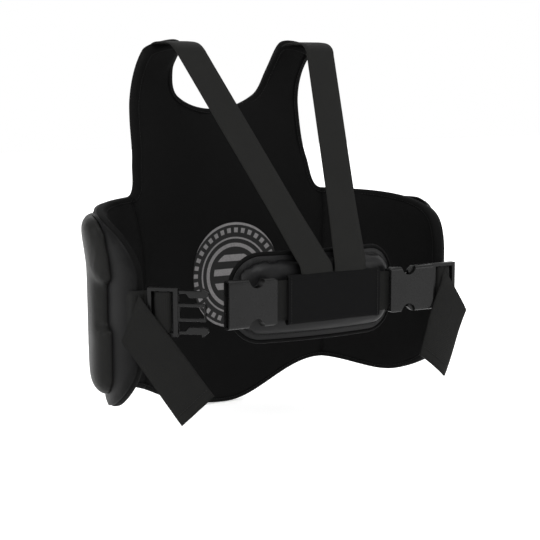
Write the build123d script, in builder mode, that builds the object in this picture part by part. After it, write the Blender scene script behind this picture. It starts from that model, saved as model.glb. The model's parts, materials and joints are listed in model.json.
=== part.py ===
from build123d import *
import os
from math import asin, cos, degrees, radians, sin, tan

os.makedirs("parts", exist_ok=True)

# ---------------------------------------------------------------- driving sizes (mm)
# The origin is on the wearer's torso axis, level with the lowest point of the guard.
# +X is the wearer's left, +Y the wearer's back, +Z up.

# Plan curve of the shell: one arc over the chest, then two arcs round each side.
chest_radius = 380.0
chest_y = -125.0
fold_x = 143.0
side_radius = 140.0
side_end_direction = 78.0
rear_radius = 95.0
rear_end_direction = 112.0

# The shoulder flaps bend back over an axis that runs across the chest.
bend_z = 420.0
bend_radius = 100.0
bend_angle = 60.0

# Layers, each measured outwards from the face that touches the wearer.
lining_thickness = 2.0
foam_thickness = 12.0
cover_thickness = 2.0
front_cushion_thickness = 24.0
side_cushion_thickness = 22.0
binding_width = 5.0
binding_proud = 1.0
emblem_radius = 76.0
emblem_thickness = 0.8
emblem_z = 181.0

# Front outline.
fold_bottom_z = 56.0
fold_top_z = 300.0
waist_half_width = 124.0
waist_z = 388.0
neck_z = 420.0
flap_inner_x = 76.0
flap_outer_x = 122.0
outline_top_z = 545.0
flap_outer_start_z = bend_z + 60.0
flap_inner_start_z = bend_z + 75.0
neck_shoulder = (58.0, neck_z + 22.0)
armhole_start_x = fold_x + 12.0
panel_overrun = 35.0

# Wing outline.
wing_lobe_z = 43.0
wing_lobe_y = -22.0
wing_rear_spare = 4.0
rear_shoulder = (24.0, 50.0)
wing_top_y = -20.0
wing_top_drop = 8.0
rear_low_z = 112.0
rear_high_z = 222.0
wing_open_angle = 25.0
fold_gap = 0.6

# Belt, pad and straps.
belt_z = 188.0
belt_y = 142.0
anchor_z = 178.0
webbing_width = 50.0
webbing_thickness = 2.2
strap_width = 42.0
strap_thickness = 2.0
pad_length = 250.0
pad_height = 110.0
pad_corner_radius = 42.0
pad_radius = 450.0
pad_outer_y = 138.0
pad_foam_thickness = 15.0
pad_base_thickness = 4.0
pad_border = 9.0
pad_piping_width = 5.0
piping_proud = 1.0
cover_half_length = 69.0
cover_spare = 6.5
cover_height = webbing_width + 2 * cover_spare
cover_wall = 1.2
cover_inner_gap = 1.0
belt_hold = 10.0

# Side-release buckles.
rail_width = 4.5
webbing_clearance = 0.5
buckle_height = webbing_width + 2 * (webbing_clearance + rail_width)
female_length = 68.0
female_thickness = 14.0
female_wall = 3.2
female_side_wall = 2.4
female_edge_rounding = 0.36
female_waist_draw = 0.8
female_shoulder = 8.0
female_waist_at = 0.55
female_tail_chamfer = (4.0, 3.0)
belt_slot_depth = 11.0
mouth_x = 154.0
window_radius = 11.0
window_from_mouth = 39.5
male_thickness = 9.0
male_base_length = 4.0
ladder_length = 34.0
end_bar_width = 5.0
middle_bar_width = 11.0
outer_slot = 9.0
inner_slot = 7.0
prong_length = 38.0
mouth_spare = 4.0
mouth_depth = male_base_length + prong_length + mouth_spare
prong_arm_width = 4.0
prong_head_width = 9.0
prong_barb = 2.6
prong_gap = 0.5
prong_root_step = 0.4
prong_head_start = 13.7
prong_head_slope = 4.0
prong_nose = 3.0
prong_barb_land = 2.0
guide_length = 34.2
guide_height = 22.0
guide_wall = 2.0
buckle_clearance = 0.6
male_direction = 139.0
male_start = 16.0
hinge_gap = 1.5

# Free ends of the webbing, as (along the buckle, up) from the top of the fold.
left_tail_outline = [(0, 0), (-22, -58), (54, -159), (94, -121)]
right_tail_outline = [(0, 0), (-36, -59), (2, -144), (44, -111)]
left_tail_start = (7.0, 21.0)
right_tail_start = (-14.0, 24.0)

# ---------------------------------------------------------------- worked-out places
layer_lining = (0.0, lining_thickness)
layer_foam = (layer_lining[1], layer_lining[1] + foam_thickness)
layer_cover = (layer_foam[1], layer_foam[1] + cover_thickness)
shell_thickness = layer_cover[1]
layer_binding = (-binding_proud, shell_thickness + binding_proud)
cut_margin = 1.0
layer_cut = (layer_binding[0] - cut_margin, layer_binding[1] + cut_margin)

fold_direction = degrees(asin(fold_x / chest_radius))
chest_centre = (0.0, chest_y + chest_radius)
fold_y = chest_centre[1] - chest_radius * cos(radians(fold_direction))


def centre_of(point, direction, radius):
    """Centre of the arc that leaves a point in a direction and turns left."""
    turn = radians(direction)
    return (point[0] - radius * sin(turn), point[1] + radius * cos(turn))


def point_on(centre, radius, direction):
    """Point of an arc where its tangent has the direction."""
    turn = radians(direction)
    return (centre[0] + radius * sin(turn), centre[1] - radius * cos(turn))


side_centre = centre_of((fold_x, fold_y), fold_direction, side_radius)
side_end = point_on(side_centre, side_radius, side_end_direction)
rear_centre = centre_of(side_end, side_end_direction, rear_radius)
webbing_middle = shell_thickness + webbing_thickness / 2
left_hinge = point_on(rear_centre, rear_radius + webbing_middle, rear_end_direction)

bend_axis = Axis((0, chest_y + bend_radius, bend_z), (-1, 0, 0))
reach = 320.0


def finish(builder, name):
    """Label a finished piece and write its file."""
    builder.part.label = name
    export_step(builder.part, "parts/" + name + ".step")


def finish_twins(builder, name):
    """Write a left piece and its mirror image on the right."""
    finish(builder, "left_" + name)
    with BuildPart() as twin:
        mirror(builder.part, about=Plane.YZ)
    finish(twin, "right_" + name)


# ---------------------------------------------------------------- front shell
def front_band(inner, outer):
    """Plan section of one front layer, from fold to fold."""
    with BuildSketch() as band:
        with BuildLine():
            start = -90 - fold_direction
            near = CenterArc(chest_centre, chest_radius + inner, start, 2 * fold_direction)
            far = CenterArc(chest_centre, chest_radius + outer, start, 2 * fold_direction)
            Line(near @ 0, far @ 0)
            Line(near @ 1, far @ 1)
        make_face()
    return band.sketch


def front_outline(inset):
    """Front view of the shell: lobe, armholes, shoulder flaps and neck."""
    side = fold_x + panel_overrun
    low = fold_bottom_z + inset
    high = fold_top_z - inset
    outer_x = flap_outer_x - inset
    inner_x = flap_inner_x + inset
    slant = inset * cos(radians(45))
    with BuildSketch() as outline:
        with BuildLine():
            Spline((0, inset), (fold_x, low), tangents=[(1, 0), (1, 0)])
            Polyline((fold_x, low), (side, low), (side, high), (armhole_start_x, high))
            Spline(
                (armhole_start_x, high),
                (waist_half_width - inset, waist_z),
                (outer_x, flap_outer_start_z),
                tangents=[(-1, 0.1), (0, 1)],
            )
            Polyline(
                (outer_x, flap_outer_start_z),
                (outer_x, outline_top_z),
                (inner_x, outline_top_z),
                (inner_x, flap_inner_start_z),
            )
            Spline(
                (inner_x, flap_inner_start_z),
                (neck_shoulder[0] + slant, neck_shoulder[1] - slant),
                (0, neck_z - inset),
                tangents=[(0, -1), (-1, 0)],
            )
            mirror(about=Plane.YZ)
        make_face()
    return outline.sketch


def front_solid(inner, outer, inset):
    """One layer of the front shell, bent back at the shoulders."""
    with BuildPart() as layer:
        with BuildSketch(Plane.XY):
            add(front_band(inner, outer))
        extrude(amount=bend_z)
        with BuildSketch(Plane.XY.offset(bend_z)):
            add(front_band(inner, outer))
        revolve(axis=bend_axis, revolution_arc=bend_angle)
        with BuildSketch(Plane.XZ.offset(-reach)):
            add(front_outline(inset))
        extrude(amount=2 * reach, mode=Mode.INTERSECT)
    return layer


layers = {"lining": layer_lining, "foam": layer_foam, "cover": layer_cover}
for layer_name, (layer_in, layer_out) in layers.items():
    finish(front_solid(layer_in, layer_out, binding_width), "front_" + layer_name)

with BuildPart() as binding:
    add(front_solid(*layer_binding, 0).part)
    add(front_solid(*layer_cut, binding_width).part, mode=Mode.SUBTRACT)
low_piece, *high_pieces = binding.solids().sort_by(Axis.Z)
high_names = ("right_armhole_binding", "neck_binding", "left_armhole_binding")
named_bindings = {"bottom_binding": low_piece}
named_bindings.update(zip(high_names, ShapeList(high_pieces).sort_by(Axis.X)))
for binding_name, solid in named_bindings.items():
    with BuildPart() as trim:
        add(solid)
    finish(trim, binding_name)

with BuildPart() as emblem:
    with BuildSketch(Plane.XY):
        add(front_band(-emblem_thickness, 0))
    extrude(amount=bend_z)
    with BuildSketch(Plane.XZ.offset(-reach)):
        with Locations((0, emblem_z)):
            Circle(emblem_radius)
    extrude(amount=2 * reach, mode=Mode.INTERSECT)
finish(emblem, "lining_emblem")


def front_cushion(centre, size, corner):
    """Foam pad sewn on the outside of the front cover."""
    with BuildPart() as cushion:
        with BuildSketch(Plane.XY):
            add(front_band(shell_thickness, shell_thickness + front_cushion_thickness))
        extrude(amount=bend_z)
        with BuildSketch(Plane.XZ.offset(-reach)):
            with Locations(centre):
                RectangleRounded(*size, corner)
        extrude(amount=2 * reach, mode=Mode.INTERSECT)
    return cushion


cushion_gap = 10.0
belly_low_z = 36.0
lower_belly_size = (178.0, 80.0)
lower_belly_corner = 36.0
upper_belly_size = (206.0, 82.0)
upper_belly_corner = 26.0
chest_size = ((upper_belly_size[0] - cushion_gap) / 2, 172.0)
chest_corner = 24.0
lower_belly_z = belly_low_z + lower_belly_size[1] / 2
upper_belly_z = belly_low_z + lower_belly_size[1] + cushion_gap + upper_belly_size[1] / 2
chest_z = upper_belly_z + upper_belly_size[1] / 2 + cushion_gap + chest_size[1] / 2
finish(front_cushion((0, lower_belly_z), lower_belly_size, lower_belly_corner), "lower_belly_cushion")
finish(front_cushion((0, upper_belly_z), upper_belly_size, upper_belly_corner), "upper_belly_cushion")
chest_x = (chest_size[0] + cushion_gap) / 2
finish_twins(front_cushion((chest_x, chest_z), chest_size, chest_corner), "chest_cushion")


# ---------------------------------------------------------------- wings
def wing_band(inner, outer, open_angle, rear_inset, start_gap=fold_gap):
    """Plan section of one layer of the left wing. The start leaves room to swing outwards."""
    side_turn = side_end_direction - fold_direction
    rear_turn = rear_end_direction - side_end_direction

    def start_skip(layer):
        gap = start_gap + max(layer, 0) * tan(radians(open_angle))
        return degrees(gap / (side_radius + layer))

    def rear_skip(layer):
        return degrees(rear_inset / (rear_radius + layer))

    with BuildSketch() as band:
        with BuildLine():
            first = fold_direction - 90
            second = side_end_direction - 90
            near, far = start_skip(inner), start_skip(outer)
            near_side = CenterArc(side_centre, side_radius + inner, first + near, side_turn - near)
            far_side = CenterArc(side_centre, side_radius + outer, first + far, side_turn - far)
            near_rear = CenterArc(rear_centre, rear_radius + inner, second, rear_turn - rear_skip(inner))
            far_rear = CenterArc(rear_centre, rear_radius + outer, second, rear_turn - rear_skip(outer))
            Line(near_side @ 0, far_side @ 0)
            Line(near_rear @ 1, far_rear @ 1)
        make_face()
    return band.sketch


def wing_outline(inset):
    """Side view of a wing, as (back, up)."""
    rear_y = left_hinge[1] + wing_rear_spare - inset
    start_y = fold_y - panel_overrun
    low = wing_lobe_z + inset
    high = fold_top_z - inset
    with BuildSketch() as outline:
        with BuildLine():
            Spline(
                (fold_y, fold_bottom_z + inset),
                (wing_lobe_y, low),
                (rear_y, rear_low_z),
                tangents=[(1, -0.15), (0, 1)],
            )
            Line((rear_y, rear_low_z), (rear_y, rear_high_z))
            Spline(
                (rear_y, rear_high_z),
                (rear_y - rear_shoulder[0], rear_high_z + rear_shoulder[1] - inset),
                (wing_top_y, high - wing_top_drop),
                (fold_y, high),
                tangents=[(0, 1), (-1, 0.05)],
            )
            Polyline(
                (fold_y, high),
                (start_y, high),
                (start_y, fold_bottom_z + inset),
                (fold_y, fold_bottom_z + inset),
            )
        make_face()
    return outline.sketch


def wing_solid(inner, outer, inset, open_angle=wing_open_angle, start_gap=fold_gap):
    """One layer of the left wing."""
    with BuildPart() as layer:
        with BuildSketch(Plane.XY):
            add(wing_band(inner, outer, open_angle, inset, start_gap))
        extrude(amount=reach)
        with BuildSketch(Plane.YZ):
            add(wing_outline(inset))
        extrude(amount=reach, mode=Mode.INTERSECT)
    return layer


for layer_name, (layer_in, layer_out) in layers.items():
    finish_twins(wing_solid(layer_in, layer_out, binding_width), "wing_" + layer_name)

wing_core = wing_solid(*layer_cut, binding_width, 0, -binding_width)
with BuildPart() as wing_binding:
    add(wing_solid(*layer_binding, 0).part)
    add(wing_core.part, mode=Mode.SUBTRACT)
finish_twins(wing_binding, "wing_binding")

side_cushion_border = 14.0
side_cushion_front_y = -66.0
side_cushion_rear_y = 20.0
side_cushion_length = side_cushion_rear_y - side_cushion_front_y
notch_depth = 12.0
notch_spare = 3.0
notch_height = webbing_width + 2 * notch_spare
side_cushion_corner = 26.0
side_cushion_drop = 4.0
side_cushion_spare = 6.0
side_cushion_height = fold_top_z - wing_lobe_z - 2 * side_cushion_border - side_cushion_spare
side_cushion_z = (fold_top_z + wing_lobe_z) / 2 - side_cushion_drop

with BuildPart() as side_cushion:
    with BuildSketch(Plane.XY):
        add(wing_band(shell_thickness, shell_thickness + side_cushion_thickness, wing_open_angle, 0))
    extrude(amount=reach)
    with BuildSketch(Plane.YZ):
        with Locations(((side_cushion_front_y + side_cushion_rear_y) / 2, side_cushion_z)):
            RectangleRounded(side_cushion_length, side_cushion_height, side_cushion_corner)
        with Locations((side_cushion_rear_y, anchor_z)):
            Rectangle(2 * notch_depth, notch_height, mode=Mode.SUBTRACT)
    extrude(amount=reach, mode=Mode.INTERSECT)
finish_twins(side_cushion, "side_cushion")

# Webbing sewn to the outside of the wing, from inside the notch to the rear edge.
anchor_start_direction = 84.0
anchor_end_gap = 0.5
with BuildPart() as anchor:
    with BuildSketch(Plane.XY.offset(anchor_z - webbing_width / 2)):
        with BuildLine():
            anchor_in = shell_thickness + binding_proud
            ends = []
            for layer in (anchor_in, anchor_in + webbing_thickness):
                radius = rear_radius + layer
                turn = rear_end_direction - anchor_start_direction - degrees(anchor_end_gap / radius)
                ends.append(CenterArc(rear_centre, radius, anchor_start_direction - 90, turn))
            Line(ends[0] @ 0, ends[1] @ 0)
            Line(ends[0] @ 1, ends[1] @ 1)
        make_face()
    extrude(amount=webbing_width)
finish_twins(anchor, "anchor_webbing")

# ---------------------------------------------------------------- back pad
pad_centre_y = pad_outer_y - pad_radius


def pad_solid(inner_depth, outer_depth, inset):
    """One layer of the back pad; depths are measured in from its outer face."""
    with BuildPart() as layer:
        with BuildSketch(Plane.XY.offset(belt_z - pad_height)):
            with Locations((0, pad_centre_y)):
                Circle(pad_radius - outer_depth)
                Circle(pad_radius - inner_depth, mode=Mode.SUBTRACT)
        extrude(amount=2 * pad_height)
        with BuildSketch(Plane.XZ):
            with Locations((0, belt_z)):
                RectangleRounded(pad_length - 2 * inset, pad_height - 2 * inset, pad_corner_radius - inset)
        extrude(amount=-reach, mode=Mode.INTERSECT)
    return layer


pad_depth = pad_foam_thickness + pad_base_thickness
finish(pad_solid(pad_depth, pad_foam_thickness, pad_piping_width), "back_pad_base")
finish(pad_solid(pad_foam_thickness, 0, pad_border), "back_pad_foam")
with BuildPart() as piping:
    piping_in = pad_depth + piping_proud
    piping_out = pad_foam_thickness - piping_proud
    add(pad_solid(piping_in, piping_out, 0).part)
    add(pad_solid(piping_in + cut_margin, piping_out - cut_margin, pad_piping_width).part, mode=Mode.SUBTRACT)
finish(piping, "back_pad_piping")

# ---------------------------------------------------------------- belt and its cover
belt_half_length = mouth_x - female_length + belt_hold
with BuildPart() as belt:
    with BuildSketch(Plane.XY.offset(belt_z - webbing_width / 2)):
        with Locations((0, belt_y)):
            Rectangle(2 * belt_half_length, webbing_thickness)
    extrude(amount=webbing_width)
finish(belt, "belt_webbing")

strap_gap = 0.6
strap_meet_gap = 1.0
strap_foot_width = 47.0
strap_tab_length = 10.0
strap_tab_y = belt_y + webbing_thickness / 2 + strap_gap
cover_inner_y = belt_y - webbing_thickness / 2 - cover_inner_gap
cover_outer_y = strap_tab_y + strap_thickness + cover_inner_gap
strap_tab_z = belt_z + webbing_width / 2 - strap_tab_length
cover_top_z = belt_z + cover_height / 2
with BuildPart() as cover:
    with BuildSketch(Plane.YZ.offset(-cover_half_length)):
        with Locations(((cover_inner_y + cover_outer_y) / 2, belt_z)):
            Rectangle(cover_outer_y - cover_inner_y + 2 * cover_wall, cover_height)
            Rectangle(cover_outer_y - cover_inner_y, cover_height - 2 * cover_wall, mode=Mode.SUBTRACT)
    extrude(amount=2 * cover_half_length)
    with BuildSketch(Plane.XY.offset(cover_top_z - 2 * cover_wall)):
        with Locations((0, strap_tab_y + strap_thickness / 2)):
            Rectangle(2 * (strap_foot_width + strap_meet_gap), strap_thickness + strap_gap)
    extrude(amount=4 * cover_wall, mode=Mode.SUBTRACT)
finish(cover, "belt_cover")

# ---------------------------------------------------------------- shoulder straps
strap_top_x = (flap_inner_x + flap_outer_x) / 2
strap_top_z = bend_z + 83.0
strap_bend_y = -16.0
strap_sweep = 2.0
strap_overlap = 2.0
flap_end_y = chest_y + bend_radius - (bend_radius - foam_thickness) * cos(radians(bend_angle)) - strap_overlap
# Above the cover the strap runs flat over the pad, then leaves it at the pad's top edge.
strap_leave_gap = 3.0
leave_z = belt_z + pad_height / 2 + strap_leave_gap
foot_in = strap_meet_gap / 2
foot_out = foot_in + strap_foot_width
lean = (strap_top_x - (foot_in + foot_out) / 2) / (strap_top_z - cover_top_z)
leave_shift = lean * (leave_z - cover_top_z)

with BuildPart() as strap:
    # Over the shoulder, nearly level.
    with BuildSketch(Plane.XY.offset(strap_top_z)):
        with BuildLine():
            Polyline(
                (strap_top_x - strap_width / 2, flap_end_y),
                (strap_top_x + strap_width / 2, flap_end_y),
                (strap_top_x + strap_width / 2 - strap_sweep, strap_bend_y),
                (strap_top_x - strap_width / 2 - strap_sweep, strap_bend_y),
                close=True,
            )
        make_face()
    extrude(amount=strap_thickness)
    # Straight down the back to the top edge of the belt cover.
    back_start = Vector(0, strap_bend_y, strap_top_z + strap_thickness / 2)
    back_end = Vector(0, strap_tab_y + strap_thickness / 2, leave_z)
    down = (back_start - back_end).normalized()
    run = (back_start - back_end).length
    slope = Plane(origin=back_end, x_dir=(1, 0, 0), z_dir=Vector(1, 0, 0).cross(down))
    with BuildSketch(slope.offset(-strap_thickness / 2)):
        with BuildLine():
            Polyline(
                (foot_in + leave_shift, 0),
                (foot_out + leave_shift, 0),
                (strap_top_x + strap_width / 2 - strap_sweep, run),
                (strap_top_x - strap_width / 2 - strap_sweep, run),
                close=True,
            )
        make_face()
    extrude(amount=strap_thickness)
    # Foot over the pad and inside the belt cover.
    with BuildSketch(Plane.XZ.offset(-strap_tab_y - strap_thickness)):
        with BuildLine():
            Polyline(
                (foot_in, strap_tab_z),
                (foot_out, strap_tab_z),
                (foot_out, cover_top_z),
                (foot_out + leave_shift, leave_z),
                (foot_in + leave_shift, leave_z),
                (foot_in, cover_top_z),
                close=True,
            )
        make_face()
    extrude(amount=strap_thickness)
finish_twins(strap, "shoulder_strap")


# ---------------------------------------------------------------- buckles
prong_outer = buckle_height / 2 - female_side_wall - buckle_clearance
middle_bar_end = end_bar_width + outer_slot + middle_bar_width - ladder_length


def make_female(face, name):
    """Socket half. The face plane has its origin at the mouth and +x going in."""
    half = female_thickness / 2
    with BuildPart() as female:
        with BuildSketch(face.offset(-half)):
            with BuildLine():
                side = buckle_height / 2
                cut_x, cut_y = female_tail_chamfer
                Polyline((0, 0), (0, side), (female_shoulder, side))
                Spline(
                    (female_shoulder, side),
                    (female_length * female_waist_at, side - female_waist_draw),
                    (female_length - cut_x, side - female_waist_draw),
                )
                Polyline(
                    (female_length - cut_x, side - female_waist_draw),
                    (female_length, side - cut_y),
                    (female_length, 0),
                )
                mirror(about=Plane.XZ)
            make_face()
        extrude(amount=female_thickness)
        # Rounded all along its two faces.
        with BuildSketch(Plane(origin=face.origin, x_dir=face.y_dir, z_dir=face.x_dir)):
            RectangleRounded(buckle_height, female_thickness, female_thickness * female_edge_rounding)
        extrude(amount=female_length, mode=Mode.INTERSECT)
        # Mouth for the prongs and the guide.
        with BuildSketch(face.offset(-half + female_wall)):
            with Locations(((mouth_depth - cut_margin) / 2, 0)):
                Rectangle(mouth_depth + cut_margin, buckle_height - 2 * female_side_wall)
        extrude(amount=female_thickness - 2 * female_wall, mode=Mode.SUBTRACT)
        # Side windows where the barbs catch.
        with BuildSketch(face.offset(-half - cut_margin)):
            with Locations((window_from_mouth, buckle_height / 2), (window_from_mouth, -buckle_height / 2)):
                Circle(window_radius)
        extrude(amount=female_thickness + 2 * cut_margin, mode=Mode.SUBTRACT)
        # Slot that holds the sewn end of the belt.
        slot_height = webbing_thickness + 2 * webbing_clearance
        with BuildSketch(face.offset(-slot_height / 2)):
            with Locations((female_length + (cut_margin - belt_slot_depth) / 2, 0)):
                Rectangle(belt_slot_depth + cut_margin, webbing_width + 2 * webbing_clearance)
        extrude(amount=slot_height, mode=Mode.SUBTRACT)
    finish(female, name)


def make_male(face, name):
    """Plug half: base, guide and ladder-lock frame. +x of the face goes into the socket."""
    half = male_thickness / 2
    with BuildPart() as male:
        with BuildSketch(face.offset(-half)):
            with Locations((male_base_length / 2 - ladder_length / 2, 0)):
                Rectangle(ladder_length + male_base_length, buckle_height)
            inner_height = buckle_height - 2 * rail_width
            with Locations((outer_slot / 2 + end_bar_width - ladder_length, 0)):
                Rectangle(outer_slot, inner_height, mode=Mode.SUBTRACT)
            with Locations((middle_bar_end + inner_slot / 2, 0)):
                Rectangle(inner_slot, inner_height, mode=Mode.SUBTRACT)
        extrude(amount=male_thickness)
        guide_half = (female_thickness - 2 * female_wall - 2 * buckle_clearance) / 2
        with BuildSketch(face.offset(-guide_half)):
            with Locations((male_base_length + guide_length / 2, 0)):
                Rectangle(guide_length, guide_height)
                Rectangle(guide_length - 2 * guide_wall, guide_height - 4 * guide_wall, mode=Mode.SUBTRACT)
        extrude(amount=2 * guide_half)
    finish(male, name)


def make_prong(face, side, name):
    """Spring arm with a barbed head; side is +1 for the upper arm, -1 for the lower."""
    thick = female_thickness - 2 * female_wall - 2 * buckle_clearance
    inner = prong_outer - prong_head_width
    arm = prong_outer - prong_arm_width
    back = prong_outer - prong_root_step
    tip = male_base_length + prong_length
    barb_x = male_base_length + window_from_mouth - window_radius + buckle_clearance
    root = male_base_length + prong_gap
    with BuildPart() as prong:
        with BuildSketch(face.offset(-thick / 2)):
            with BuildLine():
                Polyline(
                    (root, side * arm),
                    (prong_head_start, side * arm),
                    (prong_head_start + prong_head_slope, side * inner),
                    (prong_length, side * inner),
                    (tip, side * (inner + prong_nose)),
                    (tip, side * (prong_outer - prong_nose)),
                    (barb_x + prong_barb_land, side * (prong_outer + prong_barb)),
                    (barb_x, side * (prong_outer + prong_barb)),
                    (barb_x, side * back),
                    (root, side * back),
                    close=True,
                )
            make_face()
        extrude(amount=thick)
    finish(prong, name)


def tail_solid(face, start, outline, depth, name):
    """Free end of the webbing, folded flat against the outside of the buckle."""
    with BuildPart() as tail:
        with BuildSketch(face.offset(depth)):
            with BuildLine():
                Polyline(*[(start[0] + along, start[1] + up) for along, up in outline], close=True)
            make_face()
        extrude(amount=webbing_thickness if depth > 0 else -webbing_thickness)
    finish(tail, name)


left_along = Vector(cos(radians(male_direction)), sin(radians(male_direction)), 0)
left_out = Vector(sin(radians(male_direction)), -cos(radians(male_direction)), 0)
left_base = Vector(*left_hinge, anchor_z) + left_along * (male_start + ladder_length)
left_face = Plane(origin=left_base, x_dir=left_along, z_dir=left_out)
left_plan = Plane(origin=left_base, x_dir=left_along, z_dir=(0, 0, 1))
right_face = Plane(origin=(-mouth_x - male_base_length, belt_y, belt_z), x_dir=(1, 0, 0), z_dir=(0, -1, 0))
female_left_face = Plane(origin=(mouth_x, belt_y, belt_z), x_dir=(-1, 0, 0), z_dir=(0, 1, 0))
female_right_face = Plane(origin=(-mouth_x, belt_y, belt_z), x_dir=(1, 0, 0), z_dir=(0, -1, 0))

make_female(female_left_face, "left_buckle_socket")
make_female(female_right_face, "right_buckle_socket")
for side_name, face in {"left": left_face, "right": right_face}.items():
    make_male(face, side_name + "_buckle_plug")
    make_prong(face, 1, side_name + "_upper_prong")
    make_prong(face, -1, side_name + "_lower_prong")

# Webbing from the wing's rear edge to the middle bar of each ladder lock.
frame_gap = 0.4
frame_overrun = 1.0
tail_depth = male_thickness / 2 + 1.2
with BuildPart() as left_adjuster:
    with BuildSketch(left_plan.offset(-webbing_width / 2)):
        with BuildLine():
            near = -male_start - ladder_length + hinge_gap
            front_face = -male_thickness / 2 - frame_gap
            frame_end = -ladder_length - frame_overrun
            Polyline(
                (near, -webbing_thickness / 2),
                (frame_end, front_face - webbing_thickness),
                (middle_bar_end, front_face - webbing_thickness),
                (middle_bar_end, front_face),
                (frame_end, front_face),
                (near, webbing_thickness / 2),
                close=True,
            )
        make_face()
    extrude(amount=webbing_width)
finish(left_adjuster, "left_adjuster_webbing")

right_hinge = (-left_hinge[0], left_hinge[1])
right_bar_x = -mouth_x - male_base_length + middle_bar_end
trim_margin = 20.0
climb_end = 10.0
with BuildPart() as right_adjuster:
    with BuildSketch(Plane.XY.offset(anchor_z - webbing_width / 2)):
        with BuildLine():
            outer_y = belt_y + male_thickness / 2 + frame_gap
            frame_end_x = -mouth_x - male_base_length - ladder_length - frame_overrun
            side_step = webbing_thickness * 0.9
            Polyline(
                (right_hinge[0] - side_step / 2, right_hinge[1] + hinge_gap),
                (frame_end_x, outer_y + webbing_thickness),
                (right_bar_x, outer_y + webbing_thickness),
                (right_bar_x, outer_y),
                (frame_end_x, outer_y),
                (right_hinge[0] + side_step / 2 + buckle_clearance, right_hinge[1] + hinge_gap),
                close=True,
            )
        make_face()
    extrude(amount=webbing_width + belt_z - anchor_z)
    # Trim to a band that climbs from the wing to the belt.
    with BuildSketch(Plane.YZ.offset(right_hinge[0] - trim_margin)):
        with BuildLine():
            low = anchor_z - webbing_width / 2
            climb = belt_z - anchor_z
            Polyline(
                (right_hinge[1], low),
                (belt_y - climb_end, low + climb),
                (belt_y + trim_margin, low + climb),
                (belt_y + trim_margin, low + climb + webbing_width),
                (belt_y - climb_end, low + climb + webbing_width),
                (right_hinge[1], low + webbing_width),
                close=True,
            )
        make_face()
    extrude(amount=mouth_x, mode=Mode.INTERSECT)
finish(right_adjuster, "right_adjuster_webbing")

tail_out = tail_depth + webbing_thickness + strap_gap
tail_solid(
    Plane(origin=Vector(*left_hinge, anchor_z), x_dir=left_along, z_dir=left_out),
    left_tail_start,
    left_tail_outline,
    tail_out,
    "left_tail",
)
tail_solid(
    right_face,
    right_tail_start,
    right_tail_outline,
    -tail_out,
    "right_tail",
)

print("fold axis", round(fold_x, 1), round(fold_y, 1))
print("left buckle axis", [round(v, 1) for v in left_hinge])
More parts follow.
